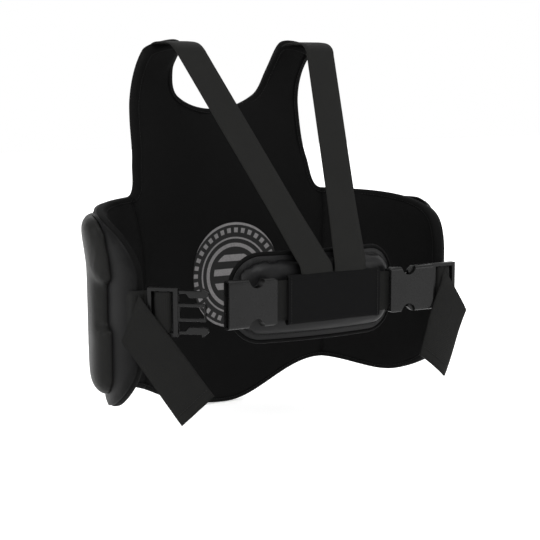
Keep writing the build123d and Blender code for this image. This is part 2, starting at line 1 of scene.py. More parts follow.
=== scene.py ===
# %% [markdown]
# # A padded body guard, dressed around its fixed frame
# The real object is a foam-cored vest for boxing and martial arts. It has a soft lining, a leather-look
# cover with sewn pads, a bound edge, elastic shoulder straps, and a belt with two side-release buckles.
# The frame holds every size and joint. This lesson dresses it in cloth, leather and moulded plastic.
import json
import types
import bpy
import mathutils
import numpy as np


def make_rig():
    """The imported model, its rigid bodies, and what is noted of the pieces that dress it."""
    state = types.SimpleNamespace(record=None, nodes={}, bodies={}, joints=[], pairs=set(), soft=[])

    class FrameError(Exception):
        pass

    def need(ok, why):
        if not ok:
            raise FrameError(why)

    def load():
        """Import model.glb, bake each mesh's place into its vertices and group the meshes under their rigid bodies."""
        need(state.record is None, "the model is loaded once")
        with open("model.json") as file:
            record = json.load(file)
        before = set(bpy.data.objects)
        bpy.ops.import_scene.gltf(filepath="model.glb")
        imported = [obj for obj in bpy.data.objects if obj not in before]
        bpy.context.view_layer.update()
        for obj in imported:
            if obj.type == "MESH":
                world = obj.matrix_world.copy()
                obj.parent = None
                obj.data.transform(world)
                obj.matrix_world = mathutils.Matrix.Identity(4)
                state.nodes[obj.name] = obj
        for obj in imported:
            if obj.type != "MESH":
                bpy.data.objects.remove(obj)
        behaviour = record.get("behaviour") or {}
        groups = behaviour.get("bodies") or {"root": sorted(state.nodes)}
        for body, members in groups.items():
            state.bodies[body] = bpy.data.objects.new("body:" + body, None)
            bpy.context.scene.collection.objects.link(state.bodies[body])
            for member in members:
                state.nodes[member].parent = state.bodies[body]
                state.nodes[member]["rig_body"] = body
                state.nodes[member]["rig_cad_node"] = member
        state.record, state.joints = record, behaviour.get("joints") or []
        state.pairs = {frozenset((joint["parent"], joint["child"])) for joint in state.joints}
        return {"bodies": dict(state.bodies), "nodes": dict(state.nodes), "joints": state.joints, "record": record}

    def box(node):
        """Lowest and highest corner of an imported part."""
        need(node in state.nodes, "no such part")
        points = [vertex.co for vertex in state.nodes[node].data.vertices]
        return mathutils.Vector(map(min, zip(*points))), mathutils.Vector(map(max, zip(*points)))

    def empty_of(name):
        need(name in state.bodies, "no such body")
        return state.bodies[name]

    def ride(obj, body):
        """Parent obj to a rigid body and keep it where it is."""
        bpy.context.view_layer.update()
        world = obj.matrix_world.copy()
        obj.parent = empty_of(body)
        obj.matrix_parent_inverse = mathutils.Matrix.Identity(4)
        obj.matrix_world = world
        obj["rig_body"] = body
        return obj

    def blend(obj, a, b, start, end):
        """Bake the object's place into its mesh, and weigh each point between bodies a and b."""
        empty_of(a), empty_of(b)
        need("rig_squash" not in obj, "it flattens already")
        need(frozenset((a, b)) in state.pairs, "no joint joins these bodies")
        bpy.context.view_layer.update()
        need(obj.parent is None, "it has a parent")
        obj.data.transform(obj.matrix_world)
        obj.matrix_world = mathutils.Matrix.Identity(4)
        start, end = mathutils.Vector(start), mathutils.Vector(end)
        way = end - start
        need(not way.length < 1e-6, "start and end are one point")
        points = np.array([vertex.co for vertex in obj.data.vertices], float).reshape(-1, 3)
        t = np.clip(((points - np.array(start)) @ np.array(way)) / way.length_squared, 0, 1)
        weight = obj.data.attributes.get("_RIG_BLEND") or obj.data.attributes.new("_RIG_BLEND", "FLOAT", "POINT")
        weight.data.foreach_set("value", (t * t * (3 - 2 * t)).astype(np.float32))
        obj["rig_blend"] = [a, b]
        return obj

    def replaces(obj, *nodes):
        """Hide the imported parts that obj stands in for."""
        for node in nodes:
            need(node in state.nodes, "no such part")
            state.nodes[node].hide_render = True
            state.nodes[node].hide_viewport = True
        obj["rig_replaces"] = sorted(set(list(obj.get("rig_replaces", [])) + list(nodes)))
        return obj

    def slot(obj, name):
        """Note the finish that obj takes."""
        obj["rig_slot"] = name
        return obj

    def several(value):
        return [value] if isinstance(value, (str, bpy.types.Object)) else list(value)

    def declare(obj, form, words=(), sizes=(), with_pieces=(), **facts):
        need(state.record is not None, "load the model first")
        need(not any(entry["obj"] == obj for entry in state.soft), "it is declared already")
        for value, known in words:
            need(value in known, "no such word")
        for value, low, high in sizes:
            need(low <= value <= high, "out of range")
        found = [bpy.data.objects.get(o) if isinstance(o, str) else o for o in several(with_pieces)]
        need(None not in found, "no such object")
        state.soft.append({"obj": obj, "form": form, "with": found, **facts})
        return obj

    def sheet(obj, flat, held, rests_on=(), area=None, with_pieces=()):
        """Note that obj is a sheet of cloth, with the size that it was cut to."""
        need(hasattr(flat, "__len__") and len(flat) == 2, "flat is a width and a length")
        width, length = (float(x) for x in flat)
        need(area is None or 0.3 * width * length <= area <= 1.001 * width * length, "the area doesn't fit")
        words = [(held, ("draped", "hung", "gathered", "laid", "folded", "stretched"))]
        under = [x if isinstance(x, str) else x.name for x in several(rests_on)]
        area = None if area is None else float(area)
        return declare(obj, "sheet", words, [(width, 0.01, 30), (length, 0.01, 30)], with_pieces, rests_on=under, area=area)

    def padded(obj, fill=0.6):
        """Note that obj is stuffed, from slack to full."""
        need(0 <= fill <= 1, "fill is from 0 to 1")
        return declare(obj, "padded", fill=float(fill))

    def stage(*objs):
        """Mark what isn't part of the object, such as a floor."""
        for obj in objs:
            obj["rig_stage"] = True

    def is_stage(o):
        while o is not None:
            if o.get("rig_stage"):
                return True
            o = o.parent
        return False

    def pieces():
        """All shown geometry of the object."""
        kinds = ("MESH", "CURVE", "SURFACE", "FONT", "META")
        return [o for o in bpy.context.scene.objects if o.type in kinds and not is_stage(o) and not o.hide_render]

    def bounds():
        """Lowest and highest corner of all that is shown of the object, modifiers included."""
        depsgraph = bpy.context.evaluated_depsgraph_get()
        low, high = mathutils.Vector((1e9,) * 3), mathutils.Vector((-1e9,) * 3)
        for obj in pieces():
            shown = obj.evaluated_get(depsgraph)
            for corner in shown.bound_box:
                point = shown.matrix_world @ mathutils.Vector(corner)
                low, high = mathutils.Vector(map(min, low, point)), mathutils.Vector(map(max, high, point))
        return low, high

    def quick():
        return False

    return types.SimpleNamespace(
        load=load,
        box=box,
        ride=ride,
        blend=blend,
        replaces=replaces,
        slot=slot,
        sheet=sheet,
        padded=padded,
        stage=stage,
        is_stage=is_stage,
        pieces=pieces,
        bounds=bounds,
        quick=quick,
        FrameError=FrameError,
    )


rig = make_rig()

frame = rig.load()
cad_low, cad_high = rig.bounds()

import json
from math import asin, cos, pi, radians, sin

import bmesh
import bpy
import numpy as np
from mathutils import Vector, noise
from mathutils.geometry import delaunay_2d_cdt

mm = 0.001


def show(name, data):
    """A new object in the scene."""
    thing = bpy.data.objects.new(name, data)
    bpy.context.scene.collection.objects.link(thing)
    return thing


print("bodies", sorted(frame["bodies"]), "nodes", len(frame["nodes"]))

# %% [markdown]
# ## Camera and light
# The vest is seen from behind and to the wearer's left, from a little above its middle. A long lens keeps
# the two sides nearly parallel. The object is almost black, so a bright even room gives it soft reflections,
# and three large panels pick out the edges. A dark room with small lamps would lose the straps.

# %% Camera
camera_place = Vector((1.022, 1.660, 0.474))
camera_aim = Vector((0.002, -0.006, 0.203))
camera_data = bpy.data.cameras.new("camera")
camera_data.lens = 97.9
camera_data.sensor_width = 36
camera = show("camera", camera_data)
camera.location = camera_place
camera.rotation_euler = (camera_aim - camera_place).to_track_quat("-Z", "Y").to_euler()
bpy.context.scene.camera = camera
print("camera distance", round((camera_aim - camera_place).length, 3), "m")

# %% Studio light
bpy.context.scene.view_settings.view_transform = "Standard"
room = bpy.data.worlds.new("room")
room.use_nodes = True
room_light = room.node_tree.nodes["Background"]
room_light.inputs["Color"].default_value = (1, 1, 1, 1)
room_light.inputs["Strength"].default_value = 1.0
bpy.context.scene.world = room


def soft_panel(name, place, aim, width, power):
    """A square light panel that faces a point."""
    data = bpy.data.lights.new(name, "AREA")
    data.shape = "SQUARE"
    data.size = width
    data.energy = power
    light = show(name, data)
    light.location = place
    light.rotation_euler = (Vector(aim) - Vector(place)).to_track_quat("-Z", "Y").to_euler()


soft_panel("top_panel", (0.6, 1.3, 1.9), (0, 0, 0.25), 1.2, 22)
soft_panel("left_panel", (2.1, 0.2, 0.8), (0.2, 0, 0.2), 0.9, 12)
soft_panel("right_panel", (-1.5, 1.7, 0.8), (-0.1, 0.1, 0.2), 0.8, 8)
sky = show("sky", bpy.data.lights.new("sky", "SUN"))
sky.data.energy = 0.6
sky.data.angle = radians(90)
print("lights", len(bpy.data.lights))

# %% [markdown]
# ## Finishes
# Every surface is a small node tree. Cloth is a weave of crossing threads drawn on the piece's own flat
# map, so that the threads bend with the piece. Leather is a fine cell pattern in object space, because it
# has no direction. Gloss and coat are plain numbers on the shader, and only colour, roughness and
# bump are driven by patterns.

# %% Helpers for finishes
def new_finish(name, roughness, specular, coat=0.0):
    """A principled material with its plain numbers set, its tree and its shader."""
    finish = bpy.data.materials.new(name)
    finish.use_nodes = True
    shader = finish.node_tree.nodes["Principled BSDF"]
    shader.inputs["Roughness"].default_value = roughness
    shader.inputs["Specular IOR Level"].default_value = specular
    shader.inputs["Coat Weight"].default_value = coat
    shader.inputs["Coat Roughness"].default_value = 0.35
    return finish, finish.node_tree, shader


def add_node(tree, kind, inputs=None, **settings):
    """A node with its settings. Each input is a value or another node's output."""
    node = tree.nodes.new(kind)
    for key, value in settings.items():
        setattr(node, key, value)
    for key, value in (inputs or {}).items():
        if isinstance(value, bpy.types.NodeSocket):
            tree.links.new(value, node.inputs[key])
        else:
            node.inputs[key].default_value = value
    return node


def mapped(tree, source, scale):
    """Places from a source of coordinates, in threads or cells."""
    place = add_node(tree, "ShaderNodeTexCoord").outputs[source]
    return add_node(tree, "ShaderNodeMapping", {"Vector": place, "Scale": scale}).outputs["Vector"]


def calc(tree, operation, *values):
    """A math node on sockets or numbers."""
    return add_node(tree, "ShaderNodeMath", dict(enumerate(values)), operation=operation).outputs[0]


def paint(tree, shader, dark, light, factor):
    """Base colour between two tones."""
    tones = {"Factor": factor, "A": (*dark, 1), "B": (*light, 1)}
    mix = add_node(tree, "ShaderNodeMix", tones, data_type="RGBA")
    tree.links.new(mix.outputs["Result"], shader.inputs["Base Color"])


def press(tree, shader, height, depth, strength=0.6):
    """Relief of the surface, by a height from 0 to 1."""
    bump = add_node(tree, "ShaderNodeBump", {"Strength": strength, "Distance": depth, "Height": height})
    tree.links.new(bump.outputs["Normal"], shader.inputs["Normal"])


def vary_roughness(tree, shader, factor, low, high):
    """Roughness that drifts with a pattern."""
    drift = add_node(tree, "ShaderNodeMapRange", {"Value": factor, "To Min": low, "To Max": high})
    tree.links.new(drift.outputs["Result"], shader.inputs["Roughness"])


def thread_height(tree, pitch_along, pitch_across):
    """Plain weave: each thread rises where it passes over the other."""
    cells = mapped(tree, "UV", (1 / pitch_along, 1 / pitch_across, 1))
    run_and_width = add_node(tree, "ShaderNodeSeparateXYZ", {0: cells}).outputs[:2]
    turns = [calc(tree, "MULTIPLY", place, pi) for place in run_and_width]
    waves = [calc(tree, "ABSOLUTE", calc(tree, "SINE", turn)) for turn in turns]
    check = add_node(tree, "ShaderNodeTexChecker", {"Vector": cells, "Scale": 1.0})
    over = {"Factor": check.outputs["Fac"], "A": waves[0], "B": waves[1]}
    return add_node(tree, "ShaderNodeMix", over, data_type="FLOAT").outputs["Result"]


def grain(tree, cells_per_metre, detail, roughness):
    """Noise in the object's own space, from 0 to 1."""
    place = mapped(tree, "Object", (cells_per_metre,) * 3)
    values = {"Vector": place, "Scale": 1.0, "Detail": detail, "Roughness": roughness}
    return add_node(tree, "ShaderNodeTexNoise", values).outputs["Fac"]


def cloudy(tree, cells_per_metre, detail=3.0):
    """Slow drift of tone, from 0 to 1."""
    return grain(tree, cells_per_metre, detail, 0.55)


print("finish helpers ready")

# %% [markdown]
# ### Cloth finishes
# The lining is a smooth closed knit, nearly black and dull. Webbing is a coarse ribbed polyester weave,
# and the elastic of the shoulder straps is finer and a little lighter. The edge tape is a close weave.

# %% Cloth
def cloth(name, dark, light, pitches, depth, roughness, specular):
    """A woven finish with a slow drift of tone. Pitches and depth are in mm."""
    finish, tree, shader = new_finish(name, roughness, specular)
    threads = thread_height(tree, *(pitch * mm for pitch in pitches))
    drift = cloudy(tree, 22)
    tone = calc(tree, "ADD", calc(tree, "MULTIPLY", threads, 0.45), calc(tree, "MULTIPLY", drift, 0.55))
    paint(tree, shader, dark, light, tone)
    vary_roughness(tree, shader, drift, roughness - 0.08, roughness + 0.08)
    press(tree, shader, threads, depth * mm)
    return finish


lining_cloth = cloth("lining_fabric", (0.0015,) * 3, (0.0044,) * 3, (0.9, 0.7), 0.10, 0.78, 0.05)
binding_tape = cloth("binding_tape", (0.0010,) * 3, (0.0030,) * 3, (0.8, 0.8), 0.15, 0.70, 0.045)
webbing_tones = (0.0026, 0.0026, 0.0025), (0.0086, 0.0086, 0.0082)
belt_weave = cloth("belt_webbing", *webbing_tones, (2.2, 1.3), 0.35, 0.62, 0.06)
elastic_tones = (0.0044, 0.0044, 0.0042), (0.0098, 0.0098, 0.0092)
elastic_weave = cloth("strap_elastic", *elastic_tones, (1.1, 1.6), 0.18, 0.60, 0.06)
sleeve_tones = (0.0018, 0.0018, 0.0019), (0.0046, 0.0046, 0.0048)
sleeve_knit = cloth("belt_cover_knit", *sleeve_tones, (1.0, 1.0), 0.16, 0.80, 0.04)
pad_tones = (0.0024, 0.0024, 0.0026), (0.0058, 0.0058, 0.0060)
pad_knit = cloth("pad_fabric", *pad_tones, (0.9, 0.9), 0.10, 0.42, 0.15)
thread_black = cloth("sewing_thread", (0.006,) * 3, (0.014,) * 3, (0.5, 0.5), 0.05, 0.55, 0.15)
print("cloth finishes", 7)

# %% [markdown]
# ### Leather and plastic
# The cover is a matte coated leather with a fine pebble. Cells of a Voronoi pattern give the pebble, and
# a slower noise gives the creases and rubbed patches. The buckles are moulded plastic, with a
# fine spark-eroded surface and a soft gloss.

# %% Leather and plastic
pebble_size = 1.3 * mm
spark_size = 0.9 * mm


def leather(name, dark, light, roughness, specular):
    """Pebbled coated leather, a little smoother and lighter where it is rubbed."""
    finish, tree, shader = new_finish(name, roughness, specular, coat=0.02)
    cells = {"Vector": mapped(tree, "Object", (1 / pebble_size,) * 3), "Scale": 1.0}
    pebbles = add_node(tree, "ShaderNodeTexVoronoi", cells, feature="DISTANCE_TO_EDGE")
    valley = calc(tree, "MINIMUM", calc(tree, "MULTIPLY", pebbles.outputs["Distance"], 3.2), 1.0)
    rubbed = cloudy(tree, 16, 5.0)
    height = calc(tree, "ADD", calc(tree, "MULTIPLY", valley, 0.6), calc(tree, "MULTIPLY", rubbed, 0.4))
    paint(tree, shader, dark, light, height)
    vary_roughness(tree, shader, rubbed, roughness + 0.10, roughness - 0.10)
    press(tree, shader, height, 0.22 * mm, 0.55)
    return finish


def moulded(name, dark, light, roughness):
    """Injection-moulded plastic with a spark-eroded skin."""
    finish, tree, shader = new_finish(name, roughness, 0.15)
    drift = cloudy(tree, 40)
    paint(tree, shader, dark, light, drift)
    vary_roughness(tree, shader, drift, roughness - 0.06, roughness + 0.08)
    press(tree, shader, grain(tree, 1 / spark_size, 6.0, 0.7), 0.01 * mm, 0.15)
    return finish


shell_leather = leather("shell_leather", (0.0012, 0.0012, 0.0013), (0.0036, 0.0036, 0.0037), 0.46, 0.06)
cushion_leather = leather("cushion_leather", (0.0030, 0.0030, 0.0028), (0.0072, 0.0072, 0.0067), 0.44, 0.075)
buckle_plastic = moulded("buckle_plastic", (0.0034,) * 3, (0.0066,) * 3, 0.26)
print("leather and plastic ready")

# %% [markdown]
# ### The printed emblem
# A round transfer print sits on the lining. It is drawn from the piece's own flat map, which has its
# origin at the print's centre: the distance gives the rings, the angle gives the short dashes, and the
# height gives the bars across the middle.

# %% Emblem print
emblem_radius = 76 * mm


def ring(tree, distance, middle, half_width):
    """1 inside a ring, 0 outside. All three are shares of the emblem's radius."""
    off = calc(tree, "ABSOLUTE", calc(tree, "SUBTRACT", distance, middle))
    return calc(tree, "LESS_THAN", off, half_width)


def stripes(tree, place, rate, level):
    """1 where a wave along a place is over a level, 0 elsewhere."""
    return calc(tree, "GREATER_THAN", calc(tree, "SINE", calc(tree, "MULTIPLY", place, rate)), level)


def emblem_finish():
    """Pale worn print in rings, dashes and bars."""
    finish, tree, shader = new_finish("emblem_print", 0.62, 0.12)
    cells = mapped(tree, "UV", (1 / emblem_radius, 1 / emblem_radius, 1))
    far = add_node(tree, "ShaderNodeVectorMath", {0: cells}, operation="LENGTH").outputs["Value"]
    across, up = add_node(tree, "ShaderNodeSeparateXYZ", {0: cells}).outputs[:2]
    dashes = stripes(tree, calc(tree, "ARCTAN2", up, across), 36.0, -0.1)
    dashes = calc(tree, "MULTIPLY", ring(tree, far, 0.845, 0.045), dashes)
    bars = calc(tree, "MULTIPLY", calc(tree, "LESS_THAN", far, 0.44), stripes(tree, up, 24.0, 0.1))
    light = ring(tree, far, 0.965, 0.022)
    for part in (ring(tree, far, 0.70, 0.016), ring(tree, far, 0.57, 0.035), dashes, bars):
        light = calc(tree, "ADD", light, part)
    worn = cloudy(tree, 420, 4.0)
    light = calc(tree, "MULTIPLY", light, calc(tree, "MULTIPLY_ADD", worn, 0.7))
    paint(tree, shader, (0.010, 0.010, 0.010), (0.165, 0.160, 0.161), calc(tree, "MINIMUM", light, 1.0))
    press(tree, shader, worn, 0.05 * mm)
    return finish


emblem_print = emblem_finish()
print("emblem radius", emblem_radius, "m")

# %% [markdown]
# ## The shell as a formula
# Seen from above, the vest is one smooth curve: a wide arc over the chest and two tighter arcs round each
# side. A place on it has three numbers: the distance round the curve, the distance up the cloth, and the
# depth through the layers. Everything sewn to the shell is made flat in those numbers and then wrapped,
# which is how a pattern cutter thinks. Lofting each piece by hand would never keep the layers parallel.

# %% Plan curve
chest_radius = 380 * mm
side_radius = 140 * mm
rear_radius = 95 * mm
chest_y = -125 * mm
fold_x = 143 * mm
side_turn = radians(78)
rear_turn = radians(112)
bend_z = 420 * mm
bend_radius = 100 * mm
bend_turn = radians(60)

fold_turn = asin(fold_x / chest_radius)
fold_s = chest_radius * fold_turn
side_s = fold_s + side_radius * (side_turn - fold_turn)
rear_s = side_s + rear_radius * (rear_turn - side_turn)
chest_centre = np.array([0, chest_y + chest_radius])


def along(turn):
    """Unit vector from an arc's centre to the point where it runs in that direction."""
    return np.array([sin(turn), -cos(turn)])


fold_point = chest_centre + chest_radius * along(fold_turn)
side_centre = fold_point - side_radius * along(fold_turn)
rear_centre = side_centre + (side_radius - rear_radius) * along(side_turn)
arcs = np.array(
    [
        (0, 0, chest_radius, *chest_centre),
        (fold_s, fold_turn, side_radius, *side_centre),
        (side_s, side_turn, rear_radius, *rear_centre),
    ]
)
lean_amount = 17 * mm
lean_rise = 260 * mm, 430 * mm
open_amount = 14 * mm
open_side = 60 * mm, 150 * mm
open_rise = 206 * mm, 310 * mm


def smooth_step(value, low, high):
    """0 below low, 1 above high, and a soft rise between."""
    t = np.clip((value - low) / (high - low), 0, 1)
    return t * t * (3 - 2 * t)


def lean(points):
    """The shoulders hang a little towards the wearer's left, and the left side stands open above the belt."""
    points = np.array(points, float)
    opened = smooth_step(points[:, 0], *open_side) * smooth_step(points[:, 2], *open_rise)
    points[:, 0] += lean_amount * smooth_step(points[:, 2], *lean_rise) + open_amount * opened
    return points


def on_shell(s, t, depth):
    """Places on the shell: s round the curve, t up the cloth, depth outwards from the lining."""
    s, t, depth = np.broadcast_arrays(np.asarray(s, float), t, depth)
    far = np.abs(s)
    arc = arcs[(far >= fold_s).astype(int) + (far > side_s)]
    start, turn, radius, centre_x, centre_y = np.moveaxis(arc, -1, 0)
    turn = turn + (far - start) / radius
    x = np.sign(s) * (centre_x + (radius + depth) * np.sin(turn))
    y = centre_y - (radius + depth) * np.cos(turn)
    bend = np.clip((t - bend_z) / bend_radius, 0, None)
    arm = (chest_y + bend_radius) - y
    y = np.where(t > bend_z, chest_y + bend_radius - arm * np.cos(bend), y)
    z = np.where(t > bend_z, bend_z + arm * np.sin(bend), t)
    return lean(np.stack([x, y, z], axis=-1))


print("round the shell", round(2 * rear_s, 3), "m")

# %% [markdown]
# ## Outlines
# Each outline is a few points joined by smooth curves. A curve leaves and arrives in a stated direction,
# so that neighbouring pieces share their edges.

# %% Outline helpers
def run_of(path):
    """Distance along a path to each of its places."""
    return np.concatenate([[0], np.cumsum(np.linalg.norm(np.diff(path, axis=0), axis=1))])


def smooth_path(points, start, end, step=4 * mm):
    """Smooth curve through points, as closely spaced places."""
    points = np.array(points, float)
    chords = np.linalg.norm(np.diff(points, axis=0), axis=1)
    heading = np.zeros_like(points)
    heading[0], heading[-1] = start, end
    heading[1:-1] = points[2:] - points[:-2]
    heading /= np.linalg.norm(heading, axis=1)[:, None]
    places = []
    for i, chord in enumerate(chords):
        count = max(2, round(chord / step))
        u = (np.arange(count) / count)[:, None]
        places.append(
            (2 * u**3 - 3 * u**2 + 1) * points[i]
            + (u**3 - 2 * u**2 + u) * chord * heading[i]
            + (3 * u**2 - 2 * u**3) * points[i + 1]
            + (u**3 - u**2) * chord * heading[i + 1]
        )
    places.append(points[-1:])
    return np.vstack(places)


def even_path(path, step):
    """The same path with places at equal distances."""
    path = np.asarray(path, float)
    run = run_of(path)
    count = max(2, round(run[-1] / step))
    wanted = np.linspace(0, run[-1], count + 1)
    return np.stack([np.interp(wanted, run, path[:, k]) for k in range(path.shape[1])], axis=1)


def rounded_box(centre, size, corner, step=4 * mm):
    """Closed outline of a rectangle with round corners, anticlockwise from the middle of its right side."""
    places = []
    half = np.array(size) / 2 - corner
    for k, (sx, sy) in enumerate(((1, 1), (-1, 1), (-1, -1), (1, -1))):
        for a in np.linspace(k * pi / 2, (k + 1) * pi / 2, 9):
            places.append(np.array(centre) + np.array([sx, sy]) * half + corner * np.array([cos(a), sin(a)]))
    places.append(places[0])
    return even_path(places, step)[:-1]


def mirrored(path):
    """The same path on the wearer's other side, still anticlockwise."""
    return (np.array(path) * [-1, 1])[::-1]


print("outline helpers ready")

# %% Front outline
neck_z = 414 * mm
fold_low = {"left": 40 * mm, "right": 56 * mm}
fold_high = 300 * mm
flap_top = bend_z + bend_radius * bend_turn
flap_outer = 122 * mm
flap_inner = 76 * mm
flap_corner = 10 * mm

fold_heading = {"left": (1, 0.36), "right": (1, -0.1)}
bottom_half = {
    "left": smooth_path(
        [(0, 0), (75 * mm, 10 * mm), (fold_s, fold_low["left"])], (1, 0), fold_heading["left"]
    ),
    "right": smooth_path([(0, 0), (fold_s, fold_low["right"])], (1, 0), (1, 0)),
}
armhole = smooth_path(
    [(fold_s, fold_high), (129 * mm, 346 * mm), (124.5 * mm, 400 * mm), (flap_outer, flap_top - flap_corner)],
    (-1, 0.15),
    (0, 1),
)
flap_end = smooth_path(
    [
        (flap_outer, flap_top - flap_corner),
        (flap_outer - flap_corner, flap_top),
        (flap_inner + flap_corner, flap_top),
        (flap_inner, flap_top - flap_corner),
    ],
    (0, 1),
    (0, -1),
    step=3 * mm,
)
neckline = smooth_path(
    [(flap_inner, flap_top - flap_corner), (75 * mm, 470 * mm), (60 * mm, 432 * mm), (0, neck_z)],
    (0, -1),
    (-1, 0),
)
top_half = np.vstack([armhole[:-1], flap_end[:-1], neckline])
top_edge = np.vstack([top_half, mirrored(top_half)[1:]])
bottom_edge = np.vstack([mirrored(bottom_half["right"]), bottom_half["left"][1:]])
fold_line = {side: even_path([(fold_s, low), (fold_s, fold_high)], 5 * mm) for side, low in fold_low.items()}
front_edges = (bottom_edge, fold_line["left"], top_edge, mirrored(fold_line["right"]))
front_outline = np.vstack([edge[:-1] for edge in front_edges])
print("front outline", len(front_outline), "places")

# %% Wing outline
rear_low = 112 * mm
rear_high = 222 * mm
lobe = {
    "left": [(182 * mm, 50 * mm), (222 * mm, 53 * mm), (276 * mm, 46 * mm), (318 * mm, 70 * mm)],
    "right": [(256 * mm, 43 * mm)],
}
wing_low = {
    side: smooth_path([(fold_s, low), *lobe[side], (rear_s, rear_low)], fold_heading[side], (0.1, 1))
    for side, low in fold_low.items()
}
wing_rear = even_path([(rear_s, rear_low), (rear_s, rear_high)], 5 * mm)
wing_top = [(rear_s, rear_high), (318 * mm, 268 * mm), (258 * mm, 291 * mm), (fold_s, fold_high)]
wing_high = smooth_path(wing_top, (-0.05, 1), (-1, 0.06))
wing_edge = {side: np.vstack([low[:-1], wing_rear[:-1], wing_high]) for side, low in wing_low.items()}
wing_outline = {side: np.vstack([edge[:-1], fold_line[side][::-1][:-1]]) for side, edge in wing_edge.items()}
for shape in (wing_edge, wing_outline):
    shape["right"] = mirrored(shape["right"])
print("wing outline", len(wing_outline["left"]), "places")

# %% [markdown]
# ## From an outline to a slab of cloth
# A panel is cut flat: its outline is filled with even triangles, then the same triangles are wrapped
# twice, at two depths, and joined round the edge. A plain grid would leave steps along the armholes.

# %% Panel helpers
def inside(outline, places):
    """Which places are inside a closed outline."""
    nxt = np.roll(outline, -1, axis=0)
    x, y = places[:, 0][:, None], places[:, 1][:, None]
    crosses = (outline[:, 1] > y) != (nxt[:, 1] > y)
    rise = np.where(nxt[:, 1] == outline[:, 1], 1e-12, nxt[:, 1] - outline[:, 1])
    at = outline[:, 0] + (y - outline[:, 1]) / rise * (nxt[:, 0] - outline[:, 0])
    return (crosses & (x < at)).sum(axis=1) % 2 == 1


def edge_distance(outline, places):
    """Distance of each place from the nearest outline point."""
    return np.sqrt(((places[:, None] - outline[None]) ** 2).sum(axis=2)).min(axis=1)


def fill(outline, spacing):
    """Flat places and triangles that fill an outline. The outline's own places come first."""
    low, high = outline.min(axis=0), outline.max(axis=0)
    rows = []
    for j, v in enumerate(np.arange(low[1], high[1], spacing * 0.866)):
        u = np.arange(low[0] + (j % 2) * spacing / 2, high[0], spacing)
        rows.append(np.stack([u, np.full_like(u, v)], axis=1))
    grid = np.vstack(rows)
    grid = grid[inside(outline, grid)]
    grid = grid[edge_distance(outline, grid) > 0.55 * spacing]
    places = [Vector(p) for p in np.vstack([outline, grid])]
    ring_edges = [(i, (i + 1) % len(outline)) for i in range(len(outline))]
    flat, _, faces, *_ = delaunay_2d_cdt(places, ring_edges, [], 1, 1e-7)
    return np.array([tuple(p) for p in flat]), [tuple(f) for f in faces]


def flat_area(outline):
    """Area inside a closed flat outline, by the shoelace rule."""
    x, y = np.transpose(outline)
    return abs(float(np.dot(x, np.roll(y, -1)) - np.dot(y, np.roll(x, -1)))) / 2


def finish_mesh(mesh, finish):
    """Finish, smooth shading and outward faces."""
    shape = bmesh.new()
    shape.from_mesh(mesh)
    bmesh.ops.recalc_face_normals(shape, faces=shape.faces)
    shape.to_mesh(mesh)
    shape.free()
    mesh.materials.clear()
    mesh.materials.append(finish)
    mesh.polygons.foreach_set("use_smooth", [True] * len(mesh.polygons))
    mesh.update()


def new_piece(name, places, faces, finish, flat):
    """An object at the origin, with its place in its mesh and its own flat map."""
    mesh = bpy.data.meshes.new(name)
    mesh.from_pydata([tuple(p) for p in places], [], faces)
    corners = np.empty(len(mesh.loops), int)
    mesh.loops.foreach_get("vertex_index", corners)
    layer = mesh.uv_layers.new(name="flat_map")
    layer.data.foreach_set("uv", np.asarray(flat, float)[corners].ravel())
    finish_mesh(mesh, finish)
    return show(name, mesh)


def slab(name, outline, wrap, depth_in, depth_out, finish, spacing=7 * mm, map_origin=(0, 0)):
    """A closed slab over an outline. Depths are numbers or functions of the flat places."""
    flat, faces = fill(outline, spacing)
    count = len(flat)
    deep = [d(flat) if callable(d) else np.full(count, d) for d in (depth_in, depth_out)]
    places = np.vstack([wrap(flat[:, 0], flat[:, 1], d) for d in deep])
    faces_out = [tuple(i + count for i in reversed(f)) for f in faces]
    used = {pair: True for face in faces for pair in zip(face, face[1:] + face[:1])}
    walls = [(b, a, a + count, b + count) for a, b in used if (b, a) not in used]
    both = np.vstack([flat, flat]) - map_origin
    return new_piece(name, places, list(faces) + faces_out + walls, finish, both)


print("panel helpers ready")

# %% [markdown]
# ## Lining, cover and wings
# The lining is a sheet of knit glued over the foam. It is never quite flat: it ripples a little, and it is
# drawn into a crease where each wing folds. The cover is leather over the same foam. The front rides on
# its own body, and each wing bends away from it just behind the fold.

# %% Lining relief
lining_thickness = 1.4 * mm
shell_thickness = 16 * mm
crease_depth = 2.2 * mm
crease_width = 5 * mm
wing_fullness = 4 * mm
edge_pull = 3.6 * mm
edge_softness = 7 * mm
fold_calm = 20 * mm
fine_puckers = 3.0, 0.9 * mm, 26 * mm
broad_puckers = 8.0, 1.4 * mm, 70 * mm
top_slack = 1.2
slack_rise = 360 * mm, 450 * mm
fullness_rise = fold_s + 15 * mm, fold_s + 70 * mm
bound_edge = np.vstack([top_edge, bottom_edge, *wing_edge.values()])


def ripples(flat, seed, height, size):
    """Slow ripples of cloth over foam."""
    return np.array([height * noise.noise(Vector((u / size, v / size * 0.6, seed))) for u, v in flat])


def pulled_in(flat):
    """How far the tape draws each face in towards the middle of the foam."""
    return edge_pull * np.exp(-edge_distance(bound_edge, flat) / edge_softness)


def beside_fold(flat):
    """Distance from the nearer fold line, and the depth of its crease."""
    to_fold = np.abs(np.abs(flat[:, 0]) - fold_s)
    return to_fold, crease_depth * np.exp(-((to_fold / crease_width) ** 2))


def lining_depth(flat):
    """Inner face of the lining: ripples, a crease along each fold, and a rolled edge."""
    to_fold, crease = beside_fold(flat)
    calm = smooth_step(to_fold, 0, fold_calm)
    puckers = ripples(flat, *fine_puckers) + ripples(flat, *broad_puckers)
    slack = 1 + top_slack * smooth_step(flat[:, 1], *slack_rise)
    return crease + calm * slack * puckers + pulled_in(flat)


